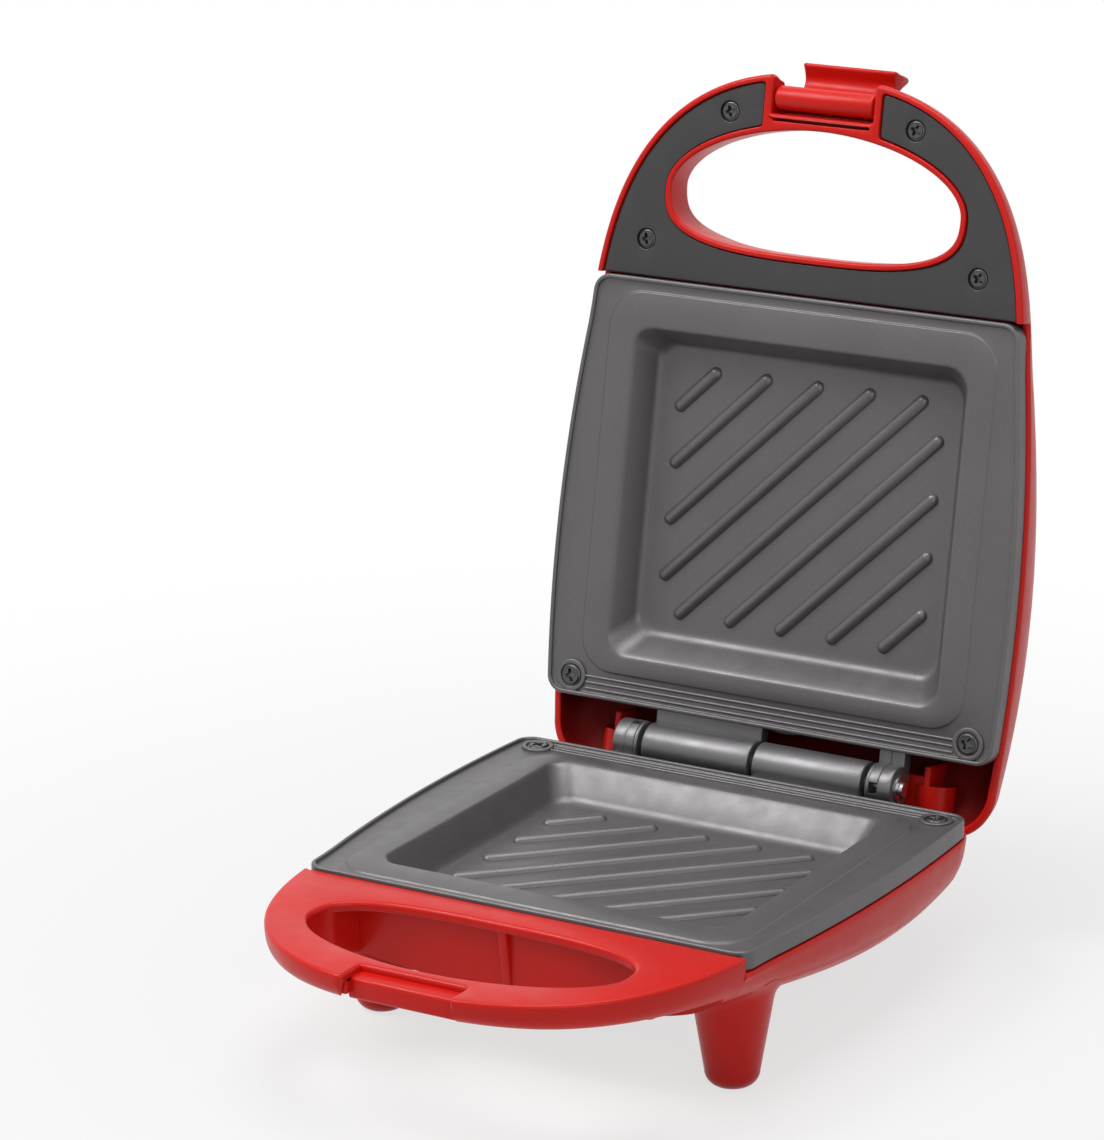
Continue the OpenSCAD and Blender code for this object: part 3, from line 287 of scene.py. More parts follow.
class Shell:
    """Vertices (x, d, t) and faces of one piece, with runs of faces in its second material: a darker red that
    paints shade inside the casings' compartments, and the bare casting of the plates' barrels.
    """

    def __init__(self):
        self.v, self.f, self.painted_shade_and_bare_runs = [], [], []

    def add(self, points, t=None):
        points = np.asarray(points, float)
        if t is not None:
            points = np.column_stack([points[:, :2], np.broadcast_to(t, len(points))])
        first = len(self.v)
        self.v.extend(map(tuple, points))
        return np.arange(first, first + len(points))

    def at(self, loop):
        return np.array([self.v[i] for i in loop])

    def bridge(self, a, b, closed=True):
        n = len(a)
        for i in range(n if closed else n - 1):
            j = (i + 1) % n
            self.f.append((int(a[i]), int(a[j]), int(b[j]), int(b[i])))

    def chain(self, loops, closed=True):
        for a, b in zip(loops[:-1], loops[1:]):
            self.bridge(a, b, closed)
        return loops[-1]

    def rings(self, steps, closed=True):
        """Bridges rings given as (points, t); returns the first and last."""
        loops = [self.add(p, t) for p, t in steps]
        self.chain(loops, closed)
        return loops[0], loops[-1]

    def fill(self, outer, holes=(), extra=None, height=None, plane=(0, 1), lines=()):
        """Triangles inside outer and outside holes, through the extra points at their heights
        and along the lines, which join points of the loops."""
        loops = [np.asarray(outer)] + [np.asarray(h) for h in holes]
        index = np.concatenate(loops)
        flat = self.at(index)[:, list(plane)]
        edges, k = [], 0
        for loop in loops:
            n = len(loop)
            edges += [(k + i, k + (i + 1) % n) for i in range(n)]
            k += n
        place = {int(v): i for i, v in enumerate(index)}
        edges += [(place[int(a)], place[int(b)]) for a, b in lines]
        if extra is not None and len(extra):
            rings = [self.at(loop)[:, list(plane)] for loop in loops]
            keep = inside(extra, rings[0])
            for ring in rings[1:]:
                keep &= ~inside(extra, ring)
            for ring in rings:
                keep &= gap_to(extra, ring) > 0.15
            extra = extra[keep]
            index = np.concatenate([index, self.add(extra, height(extra[:, 0], extra[:, 1]))])
            flat = np.vstack([flat, extra])
        out = delaunay_2d_cdt([Vector(p) for p in flat], edges, [], 0, 1e-6)
        verts, tris, origin = out[0], out[2], out[3]
        back = [int(index[o[0]]) if o else None for o in origin]
        tris = [t for t in tris if all(back[i] is not None for i in t)]
        xy = np.array([tuple(v) for v in verts])
        centre = np.array([xy[list(t)].mean(0) for t in tris])
        keep = inside(centre, self.at(loops[0])[:, list(plane)])
        for loop in loops[1:]:
            keep &= ~inside(centre, self.at(loop)[:, list(plane)])
        self.f.extend(tuple(back[i] for i in t) for t, k in zip(tris, keep) if k)

    def piece(self, name, place, materials, body, slot, replaces, sharp=40):
        """Makes the object, which rides on the body in place of the CAD nodes."""
        mesh = bpy.data.meshes.new(name)
        mesh.from_pydata([tuple(p) for p in place(self.v)], [], self.f)
        # faces in these runs take the second material: painted shade in the casings, bare casting in the plates
        for first, last in self.painted_shade_and_bare_runs:
            for face in mesh.polygons[first:last]:
                face.material_index = 1
        bm = bmesh.new()
        bm.from_mesh(mesh)
        bmesh.ops.remove_doubles(bm, verts=bm.verts, dist=WELD * MM)
        bmesh.ops.dissolve_degenerate(bm, edges=bm.edges, dist=WELD / 2 * MM)
        bmesh.ops.recalc_face_normals(bm, faces=bm.faces)
        for face in bm.faces:
            face.smooth = True
        bm.to_mesh(mesh)
        bm.free()
        mesh.set_sharp_from_angle(angle=math.radians(sharp))
        for m in materials:
            mesh.materials.append(m)
        obj = new_object(name, mesh)
        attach(obj, body)
        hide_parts(*replaces)


def arc(r, steps=4):
    """(share of r to go inward, share of r to go down) round a quarter turn, from the flat side."""
    a = np.radians(np.linspace(0, 90, steps + 1))
    return zip(r * (1 - np.sin(a)), r * (1 - np.cos(a)))


# ------------------------------------------------------------------ materials


CLOUD_SCALE, GLOSS_SCALE = 38, 210


def feed(tree, node, values):
    """Sets a node's inputs, each to a value or to the socket that feeds it."""
    for key, value in values.items():
        if isinstance(value, bpy.types.NodeSocket):
            tree.links.new(value, node.inputs[key])
        else:
            node.inputs[key].default_value = value


def shader(tree, kind, *values, settings=None, **named):
    """Output of a new shader node, with its inputs given in order or by name."""
    node = tree.nodes.new("ShaderNode" + kind)
    for key, value in (settings or {}).items():
        setattr(node, key, value)
    feed(tree, node, {**dict(enumerate(values)), **named})
    return next(out for out in node.outputs if out.enabled)


def material(name, color, rough, metal=0.0, coat=0.0, bump=(), speck=None, vary=0.0, rough_vary=0.05,
             emission=None, scratch=0.0, specular=0.5):
    """Principled surface with colour variation, roughness variation and layered bump.

    bump is a list of (scale per metre, strength, distance in metres), speck is (scale per metre,
    level where it starts, colour) and emission is (red, green, blue, strength)."""
    m = bpy.data.materials.new(name)
    m.use_nodes = True
    tree = m.node_tree
    where = tree.nodes.new("ShaderNodeTexCoord").outputs["Object"]

    def noise(scale, detail=2.0, source=where):
        return shader(tree, "TexNoise", Vector=source, Scale=scale, Detail=detail)

    def blend(factor, a, b):
        return shader(tree, "Mix", settings={"data_type": "RGBA"}, Factor=factor, A=a, B=b)

    pale, deep = ((*[min(1, c * k) for c in color], 1) for k in (1 + vary, 1 - vary))
    shade = blend(shader(tree, "MapRange", noise(CLOUD_SCALE, 3.0), 0.3, 0.7, 0, 1), deep, pale)
    if speck:
        scale, start, tint = speck
        spots = shader(tree, "MapRange", noise(scale, 1.0), start, start + 0.05, 0, 1)
        shade = blend(spots, shade, (*tint, 1))
    gloss = shader(tree, "MapRange", noise(GLOSS_SCALE, 4.0), 0.3, 0.7,
                   rough - rough_vary, rough + rough_vary)
    if scratch:
        stretched = shader(tree, "Mapping", Vector=where, Scale=(60, 900, 900), Rotation=(0.3, 0.5, 0.9))
        gloss = shader(tree, "Math", gloss,
                       shader(tree, "MapRange", noise(2.0, source=stretched), 0.66, 0.76, 0, scratch))
    values = {"Base Color": shade, "Roughness": gloss, "Metallic": metal, "Coat Weight": coat,
              "Coat Roughness": 0.12, "Specular IOR Level": specular}
    for scale, strength, distance in bump:
        under = {"Normal": values["Normal"]} if "Normal" in values else {}
        values["Normal"] = shader(tree, "Bump", Height=noise(scale), Strength=strength,
                                  Distance=distance, **under)
    if emission:
        values.update({"Emission Color": (*emission[:3], 1), "Emission Strength": emission[3]})
    feed(tree, tree.nodes["Principled BSDF"], values)
    return m


RED = material("red_moulded_plastic", (0.57, 0.009, 0.005), 0.34, coat=0.03, vary=0.04, rough_vary=0.05,
               bump=((420, 0.06, 0.0002), (60, 0.10, 0.0004)), scratch=0.08, specular=0.22)
# Darker copy of the red plastic for the compartments' insides: its colour is painted shade, since the same red
# plastic lies in shadow there. It is also rougher, with less specular.
RED_PAINTED_SHADE = material("red_plastic_painted_shade", (0.17, 0.003, 0.002), 0.55, vary=0.06, bump=((900, 0.15, 0.0002),),
                    specular=0.15)
GREY = material("dark_satin_plastic", (0.036, 0.034, 0.034), 0.34, vary=0.06, rough_vary=0.04,
                bump=((2600, 0.12, 0.0001), (70, 0.08, 0.0003)), specular=0.45)
COAT = material("non_stick_coating", (0.120, 0.114, 0.117), 0.38, metal=0.42, vary=0.05, rough_vary=0.05,
                bump=((2400, 0.12, 0.0001), (150, 0.03, 0.0003)), speck=(3200, 0.66, (0.165, 0.158, 0.162)),
                scratch=0.05)
CAST = material("bare_casting", (0.15, 0.146, 0.15), 0.38, metal=0.6, vary=0.08,
                bump=((1900, 0.15, 0.0001), (300, 0.12, 0.0003)), speck=(2600, 0.66, (0.19, 0.186, 0.19)))
BLACK = material("black_steel", (0.085, 0.083, 0.085), 0.30, metal=0.8, vary=0.12,
                 bump=((1500, 0.15, 0.0001),))
STEEL = material("bright_steel", (0.56, 0.56, 0.57), 0.26, metal=1.0, vary=0.06, rough_vary=0.08,
                 bump=((1400, 0.15, 0.0001),), scratch=0.15)
SHEET = material("plain_sheet", (0.62, 0.62, 0.64), 0.36, metal=1.0, vary=0.05, bump=((90, 0.15, 0.0004),))
PALE = material("pale_plastic", (0.72, 0.68, 0.58), 0.5, vary=0.04, bump=((800, 0.15, 0.0001),))
LENS = material("lit_lens", (0.62, 0.006, 0.003), 0.2, coat=0.2, vary=0.04, bump=((300, 0.1, 0.0002),),
                emission=(1.0, 0.010, 0.004, 0.45))
SLOTS = {"red_plastic": RED, "red_lens": LENS, "black_plastic": GREY, "pale_plastic": PALE,
         "coated_casting": COAT, "black_steel": BLACK, "bright_steel": STEEL, "sheet_metal": SHEET}
for part in frame["record"]["subparts"]:
    node = frame["nodes"][part["node"]]
    node.data.materials.clear()
    node.data.materials.append(SLOTS[part["material_slot"]])

# ------------------------------------------------------------------ casings


PLAN_STEP, EDGE_STEP, STEP_CLEAR, NOTCH_ROUND, NOTCH_EASE = 1.5, 1.1, 0.3, 0.9, 8.0
FACE_RINGS = (3, 4, 5.2, 6.6, 8.2, 10, 12)
BOWL_RINGS = (0.7, 1.6, 2.8, 4.3, 6.3, 9, 12)
SIDE_STEPS = 9


class Casing:
    """Surfaces shared by both casings: the notched outline, the domed face and the rim."""

    def __init__(self, rear, r, notch_d, extra, dip):
        self.extra, self.dip = extra, dip
        self.dense = casing_outline(rear, r)
        self.plan = resample(self.dense, PLAN_STEP)
        front = float(np.interp(NOTCH_W, self.dense[:200, 0], self.dense[:200, 1]))
        self.front = front
        right = self.dense[:len(self.dense) // 2 + 1]
        right = right[right[:, 0] >= 0]
        right = right[(right[:, 0] > NOTCH_W + NOTCH_ROUND) | (right[:, 1] < ARCH_D)]
        corner = front - NOTCH_ROUND
        ends = [[-NOTCH_W, corner], [-NOTCH_W, notch_d], [NOTCH_W, notch_d], [NOTCH_W, corner]]
        loop = resample(np.vstack([right, right[::-1][1:] * [-1, 1], ends]), EDGE_STEP)
        # two points on each side where the rim steps up to the deck
        loop = loop[np.abs(loop[:, 1] - STEP_D) > STEP_CLEAR]
        x = outline_x(STEP_D)
        near = np.hypot(np.abs(loop[:, 0]) - x, loop[:, 1] - STEP_D)
        for side, rows in ((1, (0, -STEP_GAP)), (-1, (-STEP_GAP, 0))):
            k = np.argmin(np.where(np.sign(loop[:, 0]) == side, near, 1e9))
            k += 1 if (loop[k, 1] > STEP_D) == (side > 0) else 0
            loop = np.insert(loop, k, [[side * x, STEP_D + rows[0]], [side * x, STEP_D + rows[1]]], axis=0)
            near = np.insert(near, k, [1e9, 1e9])
        self.loop = loop
        ahead = self.loop[:, 1] > HOLE_D
        self.notched = (np.abs(self.loop[:, 0]) < NOTCH_W + NOTCH_ROUND - 0.1) & ahead
        n = normals(self.loop)
        at_step = np.abs(self.loop[:, 1] - STEP_D) < STEP_CLEAR - 0.1
        n[at_step] = np.column_stack([np.sign(self.loop[at_step, 0]), np.zeros(at_step.sum())])
        w = np.clip((np.abs(self.loop[:, 0]) - NOTCH_W) / NOTCH_EASE, 0, 1)[:, None]
        up = np.where(ahead[:, None], n * w + np.array([[0, 1]]) * (1 - w), n)
        self.out = up / np.hypot(*up.T)[:, None]
        self.straight = n

    def top(self, x, d):
        """Level of the rim and the deck."""
        t = np.where(d > STEP_D - STEP_GAP / 2, DECK_T, RIM_T)
        if self.dip:
            t = t + DIP_T * smooth((DIP_W - np.abs(x)) / 1.2) * smooth((DIP_D - d) / 2)
        return t

    def face(self, x, d, inset=None, thinner=0.0):
        """Level of the domed face."""
        p = np.column_stack([x, d])
        inset = gap_to(p, self.plan) if inset is None else inset
        c = np.clip(1 - (inset - thinner) / BLEND_W, 0, 1)
        depth = face_depth(x, d, self.extra) - thinner - DECK_T
        return DECK_T + depth * (1 - c**BLEND_N) ** (1 / BLEND_N)

    def inner_rings(self, insets):
        """Points on lines that follow the outline at the insets."""
        return [self.plan - normals(self.plan) * inset for inset in insets]

    def side(self, shell, end_t):
        """Rounded edge and outer wall; returns the loop on the rim and the last loop."""
        base_t = self.top(*self.loop.T)
        rings = [shell.add(self.loop - self.straight * inward, base_t + down) for inward, down in arc(EDGE_R)]
        start = base_t + EDGE_R
        depth = face_depth(*self.loop.T, self.extra) - DECK_T
        g0 = np.clip((start - DECK_T) / depth, 0, 1)
        phi0 = np.arcsin(np.clip(g0 ** (BLEND_N / 2), 0, 1))
        phi1 = math.acos((1 - WALL / BLEND_W) ** (BLEND_N / 2))
        for k in range(1, SIDE_STEPS + 1):
            share = k / SIDE_STEPS
            phi = phi0 + (np.maximum(phi1, phi0 + 0.02) - phi0) * share
            inset = BLEND_W * (1 - np.cos(phi) ** (2 / BLEND_N))
            p = self.loop - self.out * inset[:, None]
            t = DECK_T + depth * np.sin(phi) ** (2 / BLEND_N)
            held = np.column_stack([self.loop[:, 0], np.minimum(self.loop[:, 1], self.front - WALL * share)])
            p = np.where(self.notched[:, None], held, p)
            t = np.where(self.notched, start + (end_t(p) - start) * share, t)
            rings.append(shell.add(p, t))
        shell.chain(rings)
        return rings[0], rings[-1]

    def bowl(self, shell, front_t, skin, edge_r=0.5):
        """Inside of the compartment, down to the level that skin gives; returns the open chain
        on the rim, from the right front corner round the hinge end to the left one, and the
        chain along the front edge."""
        ring = self.dense - normals(self.dense) * WALL
        ring = ring[ring[:, 1] < STEP_D - 0.4]
        k = np.argmax(np.hypot(*(np.roll(ring, -1, 0) - ring).T))
        ring = resample(np.roll(ring, -k - 1, 0), EDGE_STEP, closed=False)
        if ring[0, 0] < 0:
            ring = ring[::-1]
        x = outline_x(STEP_D) - WALL
        sides = np.vstack([[[x, STEP_D - STEP_GAP]], ring, [[-x, STEP_D - STEP_GAP]]])
        front = np.column_stack([np.linspace(-x, x, 120), np.full(120, STEP_D)])
        loop = np.vstack([sides, front])
        is_front = np.arange(len(loop)) >= len(sides)
        n = normals(loop)
        for corner in (0, len(sides) - 1):
            n[corner] = [np.sign(loop[corner, 0]), 0]
        n[is_front] = [0, 1]
        level = np.where(is_front, front_t, self.top(*loop.T))
        grow_front = 1.0 if front_t < RIM_T - 3 else 0.0
        rings = []
        for inward, down in arc(edge_r):
            share = np.where(is_front, grow_front, 1.0)[:, None]
            rings.append(shell.add(loop + n * inward * share, level + down * share[:, 0]))
        inner = loop - n * 0.25
        inner_t = np.maximum(skin(*inner.T), level + 1)
        rings.append(shell.add(inner, inner_t))
        shell.chain(rings[:-1])
        # from here the compartment's inside takes the second material, a darker red that paints its shade
        first_painted_shade = len(shell.f)
        shell.chain(rings[-2:])
        extra = [inner - n * inset for inset in BOWL_RINGS] + [grid(-60, 60, 0, 122, 5)]
        shell.fill(rings[-1], extra=np.vstack(extra), height=skin)
        shell.painted_shade_and_bare_runs.append((first_painted_shade, len(shell.f)))
        return rings[0][:len(sides)], rings[0][len(sides):]

    def step_points(self, rim):
        """Points of the rim loop at the step: deck and rim level, on the right and on the left."""
        out = []
        for side in (1, -1):
            for d in (STEP_D, STEP_D - STEP_GAP):
                p = self.loop - [side * outline_x(STEP_D), d]
                out.append(rim[int(np.argmin(np.hypot(*p.T)))])
        return out


def grid(x0, x1, d0, d1, step):
    """Evenly spaced points of a rectangle."""
    x, d = np.meshgrid(np.arange(x0, x1 + 0.01, step), np.arange(d0, d1 + 0.01, step))
    return np.column_stack([x.ravel(), d.ravel()])


def hole_wall(shell, loop, t0, t1, r0, r1, seg=5):
    """Wall of an opening with rounded edges, from the loop on the deck to the loop on the face."""
    rings = [shell.add(grow(loop, inward), t0 + down) for inward, down in arc(r0, seg)]
    far = [shell.add(grow(loop, inward), t1(*grow(loop, inward).T) - down) for inward, down in arc(r1, seg)]
    shell.chain(rings + far[::-1])
    return rings[0], far[0]


def box_solid(shell, lo, hi, r=0.4):
    """Box with rounded edges, as stacked rounded rectangles."""
    (x0, d0, t0), (x1, d1, t1) = lo, hi
    cx, hx = (x0 + x1) / 2, (x1 - x0) / 2
    loop = rounded_rect(hx, d0, d1, min(r * 1.5, hx * 0.9, (d1 - d0) * 0.45), 0.6) + [cx, 0]
    steps = [(grow(loop, -i), t0 + k) for i, k in arc(r, 3)]
    steps += [(grow(loop, -i), t1 - k) for i, k in reversed(list(arc(r, 3)))]
    first, last = shell.rings(steps)
    shell.fill(first)
    shell.fill(last)


def prism(shell, profile, x0, x1, r=0.3, waist=None):
    """Solid with a profile of (d, t) points, from x0 to x1, with rounded ends."""
    profile = np.asarray(profile, float)
    loops = []
    for x, sign in ((x0, 1), (x1, -1)):
        rows = []
        for inward, down in arc(r, 3):
            p = grow(profile, -inward)
            at = np.full(len(p), x + sign * down) if waist is None else (x + sign * down) * waist
            rows.append(shell.add(np.column_stack([at, p])))
        loops.append(rows)
    shell.chain(loops[0] + loops[1][::-1])
    shell.fill(loops[0][0], plane=(1, 2))
    shell.fill(loops[1][0], plane=(1, 2))


def catch_profile():
    """Profile of the catch bar: an arm from the wall and a lip that hangs down from it."""
    r = BAR_T / 2
    corner = curve(BAR_FRONT - r, CATCH_TOP + r, r, np.linspace(-90, 0, 9))
    low = curve(BAR_FRONT - r, CATCH_LOW - r, r, np.linspace(0, 180, 15))
    root = CATCH_WALL_D - OVERLAP
    arm = [[BAR_FRONT - BAR_T, CATCH_TOP + DECK_TH], [root, CATCH_TOP + DECK_TH], [root, CATCH_TOP]]
    return resample(np.vstack([corner, low, arm]), 0.35)


def make_base_casing(c):
    """Lower casing: compartment, deck of the handle with its opening, and the catch bar."""
    s = Shell()

    def under(x, d, inset=None):
        wall = UNDER_DECK + (WALL_TOP_D - d) / WALL_BACK
        return np.minimum(c.face(x, d, inset), np.maximum(UNDER_DECK, wall))

    rim, skirt = c.side(s, lambda p: np.full(len(p), UNDER_DECK))
    p = s.at(skirt)[:, :2]
    inner = np.where(c.notched[:, None], p, p - c.out * 0.15)
    inner_t = np.where(c.notched, UNDER_DECK, under(*inner.T, inset=np.full(len(inner), WALL + 0.15)))
    level = s.add(inner, inner_t)
    s.bridge(skirt, level)
    hole = hole_outline(0)
    hole_top, hole_low = hole_wall(s, hole, DECK_T, lambda x, d: np.full(len(x), UNDER_DECK), 1.3, 0.5)
    behind = 130
    extra = [ring[ring[:, 1] < behind] for ring in c.inner_rings(FACE_RINGS + (15,))]
    extra.append(grid(-62, 62, 4, behind, 4))
    x = np.arange(-66, 66.1, 1.5)
    crease = np.full(len(x), 132.0)
    for _ in range(12):
        crease = WALL_TOP_D - (c.face(x, crease) - UNDER_DECK) * WALL_BACK
    rows = [crease + shift for shift in (-3.5, -1.5, -0.6, 0)]
    rows += [np.full(len(x), WALL_TOP_D + shift) for shift in (0, 1)]
    extra += [np.column_stack([x, row]) for row in rows]
    s.fill(level, [hole_low], np.vstack(extra), under)
    sides, front = c.bowl(s, DECK_T, lambda x, d: c.face(x, d, thinner=WALL))
    bowl = np.concatenate([sides, front])
    right_deck, right_rim, left_deck, left_rim = c.step_points(rim)
    s.fill(rim, [bowl, hole_top], None, None, lines=(
        (right_deck, front[-1]), (right_rim, sides[0]), (left_deck, front[0]), (left_rim, sides[-1])))
    end_walls(s, c)
    # rib on the compartment's front wall
    top, out, end = UNDER_DECK - 0.5, 2.2, 19.5
    rib = [[WALL_TOP_D - 1, top], [WALL_TOP_D + out, top], [WALL_TOP_D - 0.4, end], [WALL_TOP_D - 2.4, end]]
    prism(s, resample(rib, 0.8), -1.2, 1.2, 0.45)
    catch_bar(s)
    # the second material paints shade on the compartment's inside as a darker red
    s.piece("base_casing_body", to_base, (RED, RED_PAINTED_SHADE), "base", "red_plastic", ["base_casing"])


def end_walls(s, c):
    """Walls that hang from the ends of the opening, back to the compartment."""
    edge, front = hole_outline(0.02), HOLE_D + END_REACH
    for side in (-1, 1):
        ends = edge[(edge[:, 0] * side > 12) & (edge[:, 1] > HOLE_D - 8) & (edge[:, 1] < front)]
        ends = ends[np.argsort(-ends[:, 1])]
        x, d = ends[-1]
        ends = np.vstack([ends, np.column_stack([np.full(8, x), np.linspace(d - 1, WALL_TOP_D - 0.3, 8)])])
        deep = np.maximum(c.face(*ends.T) - 0.3 - UNDER_DECK, 0.2)
        low = UNDER_DECK + deep * smooth((front - ends[:, 1]) / 5)
        top = UNDER_DECK - 0.6
        outer = ends + [side, 0]
        rows = [s.add(*row) for row in ((ends, top), (ends, low), (outer, low), (outer, top))]
        s.chain(rows + rows[:1], closed=False)
        for k in (0, -1):
            s.f.append(tuple(int(row[k]) for row in rows))


def catch_bar(s):
    """Bar across the notch that the latch hooks under, with its housing."""
    wide = NOTCH_W + WALL
    for side in (-1, 1):
        x0, x1 = sorted((side * NOTCH_W, side * wide))
        box_solid(s, (x0, HOUSING_REAR, HOUSING_T), (x1, HOUSING_FRONT, HOUSING_LOW), 0.3)
    box_solid(s, (-wide, CATCH_WALL_D - WALL, HOUSING_T), (wide, CATCH_WALL_D, NOTCH_WALL_LOW), 0.3)
    prism(s, catch_profile(), -NOTCH_W - INTO_WALL, NOTCH_W + INTO_WALL, 0.2)


def make_lid_casing(c):
    """Upper casing: compartment, cover's recess, opening and the hollow round it."""
    s = Shell()

    def scooped(x, d, inset=None):
        """Level of the domed face with the hollow round the opening."""
        f = c.face(x, d, inset)
        reach = np.minimum(np.hypot(x, d - SCOOP_D), SCOOP_R - 1)
        bowl = SCOOP_T + SCOOP_R - np.sqrt(SCOOP_R**2 - reach**2)
        h = np.clip(0.5 + (bowl - f) / SCOOP_EASE, 0, 1)
        return bowl * (1 - h) + f * h - SCOOP_EASE / 2 * h * (1 - h)

    def skin(x, d):
        return np.minimum(c.face(x, d, thinner=WALL), scooped(x, d) - WALL)

    rim, edge = c.side(s, lambda p: scooped(*p.T))
    hole = hole_outline(-HOLE_INSET)
    hole_top, hole_far = hole_wall(s, hole, DECK_T, scooped, 0.8, 2.2)
    extra = c.inner_rings(FACE_RINGS + (14,)) + [grid(-64, 64, -2, 184, 2.2)]
    s.fill(edge, [hole_far], np.vstack(extra), scooped)
    sides, _ = c.bowl(s, SEAT_T, skin)
    # the cover's recess, open towards the plate
    recess = recess_chain(c, 0.0)
    n = normals(recess)
    n[0], n[-1] = [1, 0], [-1, 0]
    rings = [s.add(recess + n * inward, DECK_T + down) for inward, down in arc(0.35, 3)]
    floor = s.add(recess, SEAT_T)
    s.chain(rings + [floor], closed=False)
    s.fill(floor)
    slot_front = HOLE_D + HOLE_FRONT - HOLE_INSET + HOLE_LIP
    slot = rounded_rect(NOTCH_W - 0.6, slot_front, slot_front + 1.1, 0.5, 0.6)
    slot_top, slot_low = s.rings([(grow(slot, i), DECK_T + k) for i, k in arc(0.25, 2)] + [(slot, 6.8)])
    s.fill(slot_low)
    right_deck, right_rim, left_deck, left_rim = c.step_points(rim)
    opening = np.concatenate([sides, rings[0][::-1]])
    s.fill(rim, [opening, hole_top, slot_top], None, None, lines=(
        (right_deck, rings[0][0]), (right_rim, sides[0]), (left_deck, rings[0][-1]), (left_rim, sides[-1])))
    # shelf behind the latch's barrel, and the ribs beside the hinge
    shelf = [[-0.8, 1.3], [0.35, 1.3], [0.75, 2.2], [1.6, 3.1], [2.6, 3.7], [2.6, 4.7], [-0.8, 4.7]]
    shelf = np.array(shelf) + [NOTCH_D, PIVOT_T]
    prism(s, resample(shelf, 0.4), -NOTCH_W - INTO_WALL, NOTCH_W + INTO_WALL, 0.1)
    half, rear = 0.9, -LID_REAR + 1
    for side in (-1, 1):
        x = side * (NARROW_X + NARROW_W + SIDE_RIB_GAP + BARREL_GAP / 2)
        box_solid(s, (x - half, rear, RIM_T + 0.3), (x + half, SIDE_RIB_D, SIDE_RIB_LOW), 0.4)
        x0, x1 = sorted((x - side * (half + 0.1), x - side * (half + RIB_FOOT_L)))
        box_solid(s, (x0, rear, RIB_FOOT_T), (x1, RIB_FOOT_D, RIB_FOOT_LOW), 0.6)
    # the second material paints shade on the compartment's inside as a darker red
    s.piece("lid_casing_body", to_lid, (RED, RED_PAINTED_SHADE), "lid", "red_plastic", ["lid_casing"])


def recess_chain(c, g):
    """Edge of the cover's recess drawn in by g: an open chain from the right end of its straight
    edge at the plate, forward round the casing, back round the opening and to the left end."""
    outer = c.dense - normals(c.dense) * (COVER_INSET + g)
    half = outer[:len(outer) // 2]
    hole = hole_outline(HOLE_LIP - HOLE_INSET + g, 0.5)
    housing = NOTCH_W + WALL + g
    start = half[(half[:, 0] > housing) & (half[:, 1] > STEP_D + 0.4)]
    corner = [[outline_x(STEP_D) - COVER_INSET - g, STEP_D]]
    edge = hole[((hole[:, 0] > housing) | (hole[:, 1] < HOLE_D)) & (hole[:, 0] >= 0)]
    edge = edge[np.argsort(np.arctan2(edge[:, 0], edge[:, 1] - HOLE_D))]
    right = np.vstack([corner, start[::-1], [[housing, start[0, 1]], [housing, edge[0, 1]]], edge])
    right = soften(resample(right, 0.7, closed=False), 2, closed=False)
    return np.vstack([right, right[::-1][1:] * [-1, 1]])


# ------------------------------------------------------------------ plates


def plate_loop(g):
    """Outline of a plate drawn in by g, with as many points whatever g is."""
    r = 5.0
    d0, d1 = PLATE_REAR + r, PLATE_FRONT - r
    x0, x1 = (float(side_x(d)) - PLATE_INSET - r for d in (d0, d1))
    rear = curve(x0, d0, r - g, np.linspace(-90, 0, 9))
    d = np.linspace(d0, d1, 26)[1:-1]
    side = np.column_stack([side_x(d) - PLATE_INSET - g, d])
    front = curve(x1, d1, r - g, np.linspace(0, 90, 9))
    right = np.vstack([rear, side, front])
    return np.vstack([right, right[::-1] * [-1, 1]])


def pocket_loop(inset):
    """Outline of the pocket drawn in by inset; its rear side slopes more."""
    rear = inset * SLOPE_REAR / SLOPE if inset < SLOPE else inset + SLOPE_REAR - SLOPE
    r = max(POCKET_R - max(0, inset - SLOPE) * 0.8, 2.5)
    return corner_loop(POCKET_W - inset, POCKET_REAR + rear, POCKET_FRONT - inset, r)


def bar(shell, a, b, r, t, low):
    """Straight bar with rounded top and ends, from a to b, its axis at t, closed at low."""
    a, b = np.asarray(a, float), np.asarray(b, float)
    along = (b - a) / np.hypot(*(b - a))
    turn = np.array([-along[1], along[0]])
    rings = []
    for height in np.radians([0, 15, 30, 45, 60, 75, 88]):
        out = r * math.cos(height)
        around = np.radians(np.linspace(-90, 90, 9))
        end = b + out * (np.cos(around)[:, None] * along + np.sin(around)[:, None] * turn)
        start = a - out * (np.cos(around)[:, None] * along + np.sin(around)[:, None] * turn)
        rings.append(shell.add(np.vstack([end, start]), t - r * math.sin(height)))
    rings.insert(0, shell.add(shell.at(rings[0])[:, :2], low))
    shell.chain(rings)
    shell.fill(rings[-1])


def annulus(shell, cx, cd, r0, r1, t, low, edge=0.3):
    """Raised ring with rounded edges round a screw."""
    steps = [(r1, low), *curve(r1 - edge, t + edge, edge, (0, -30, -60, -90)),
             *curve(r0 + edge, t + edge, edge, (270, 240, 210, 180)), (r0, low)]
    shell.rings([([cx, cd] + circle(48) * r, level) for r, level in steps])


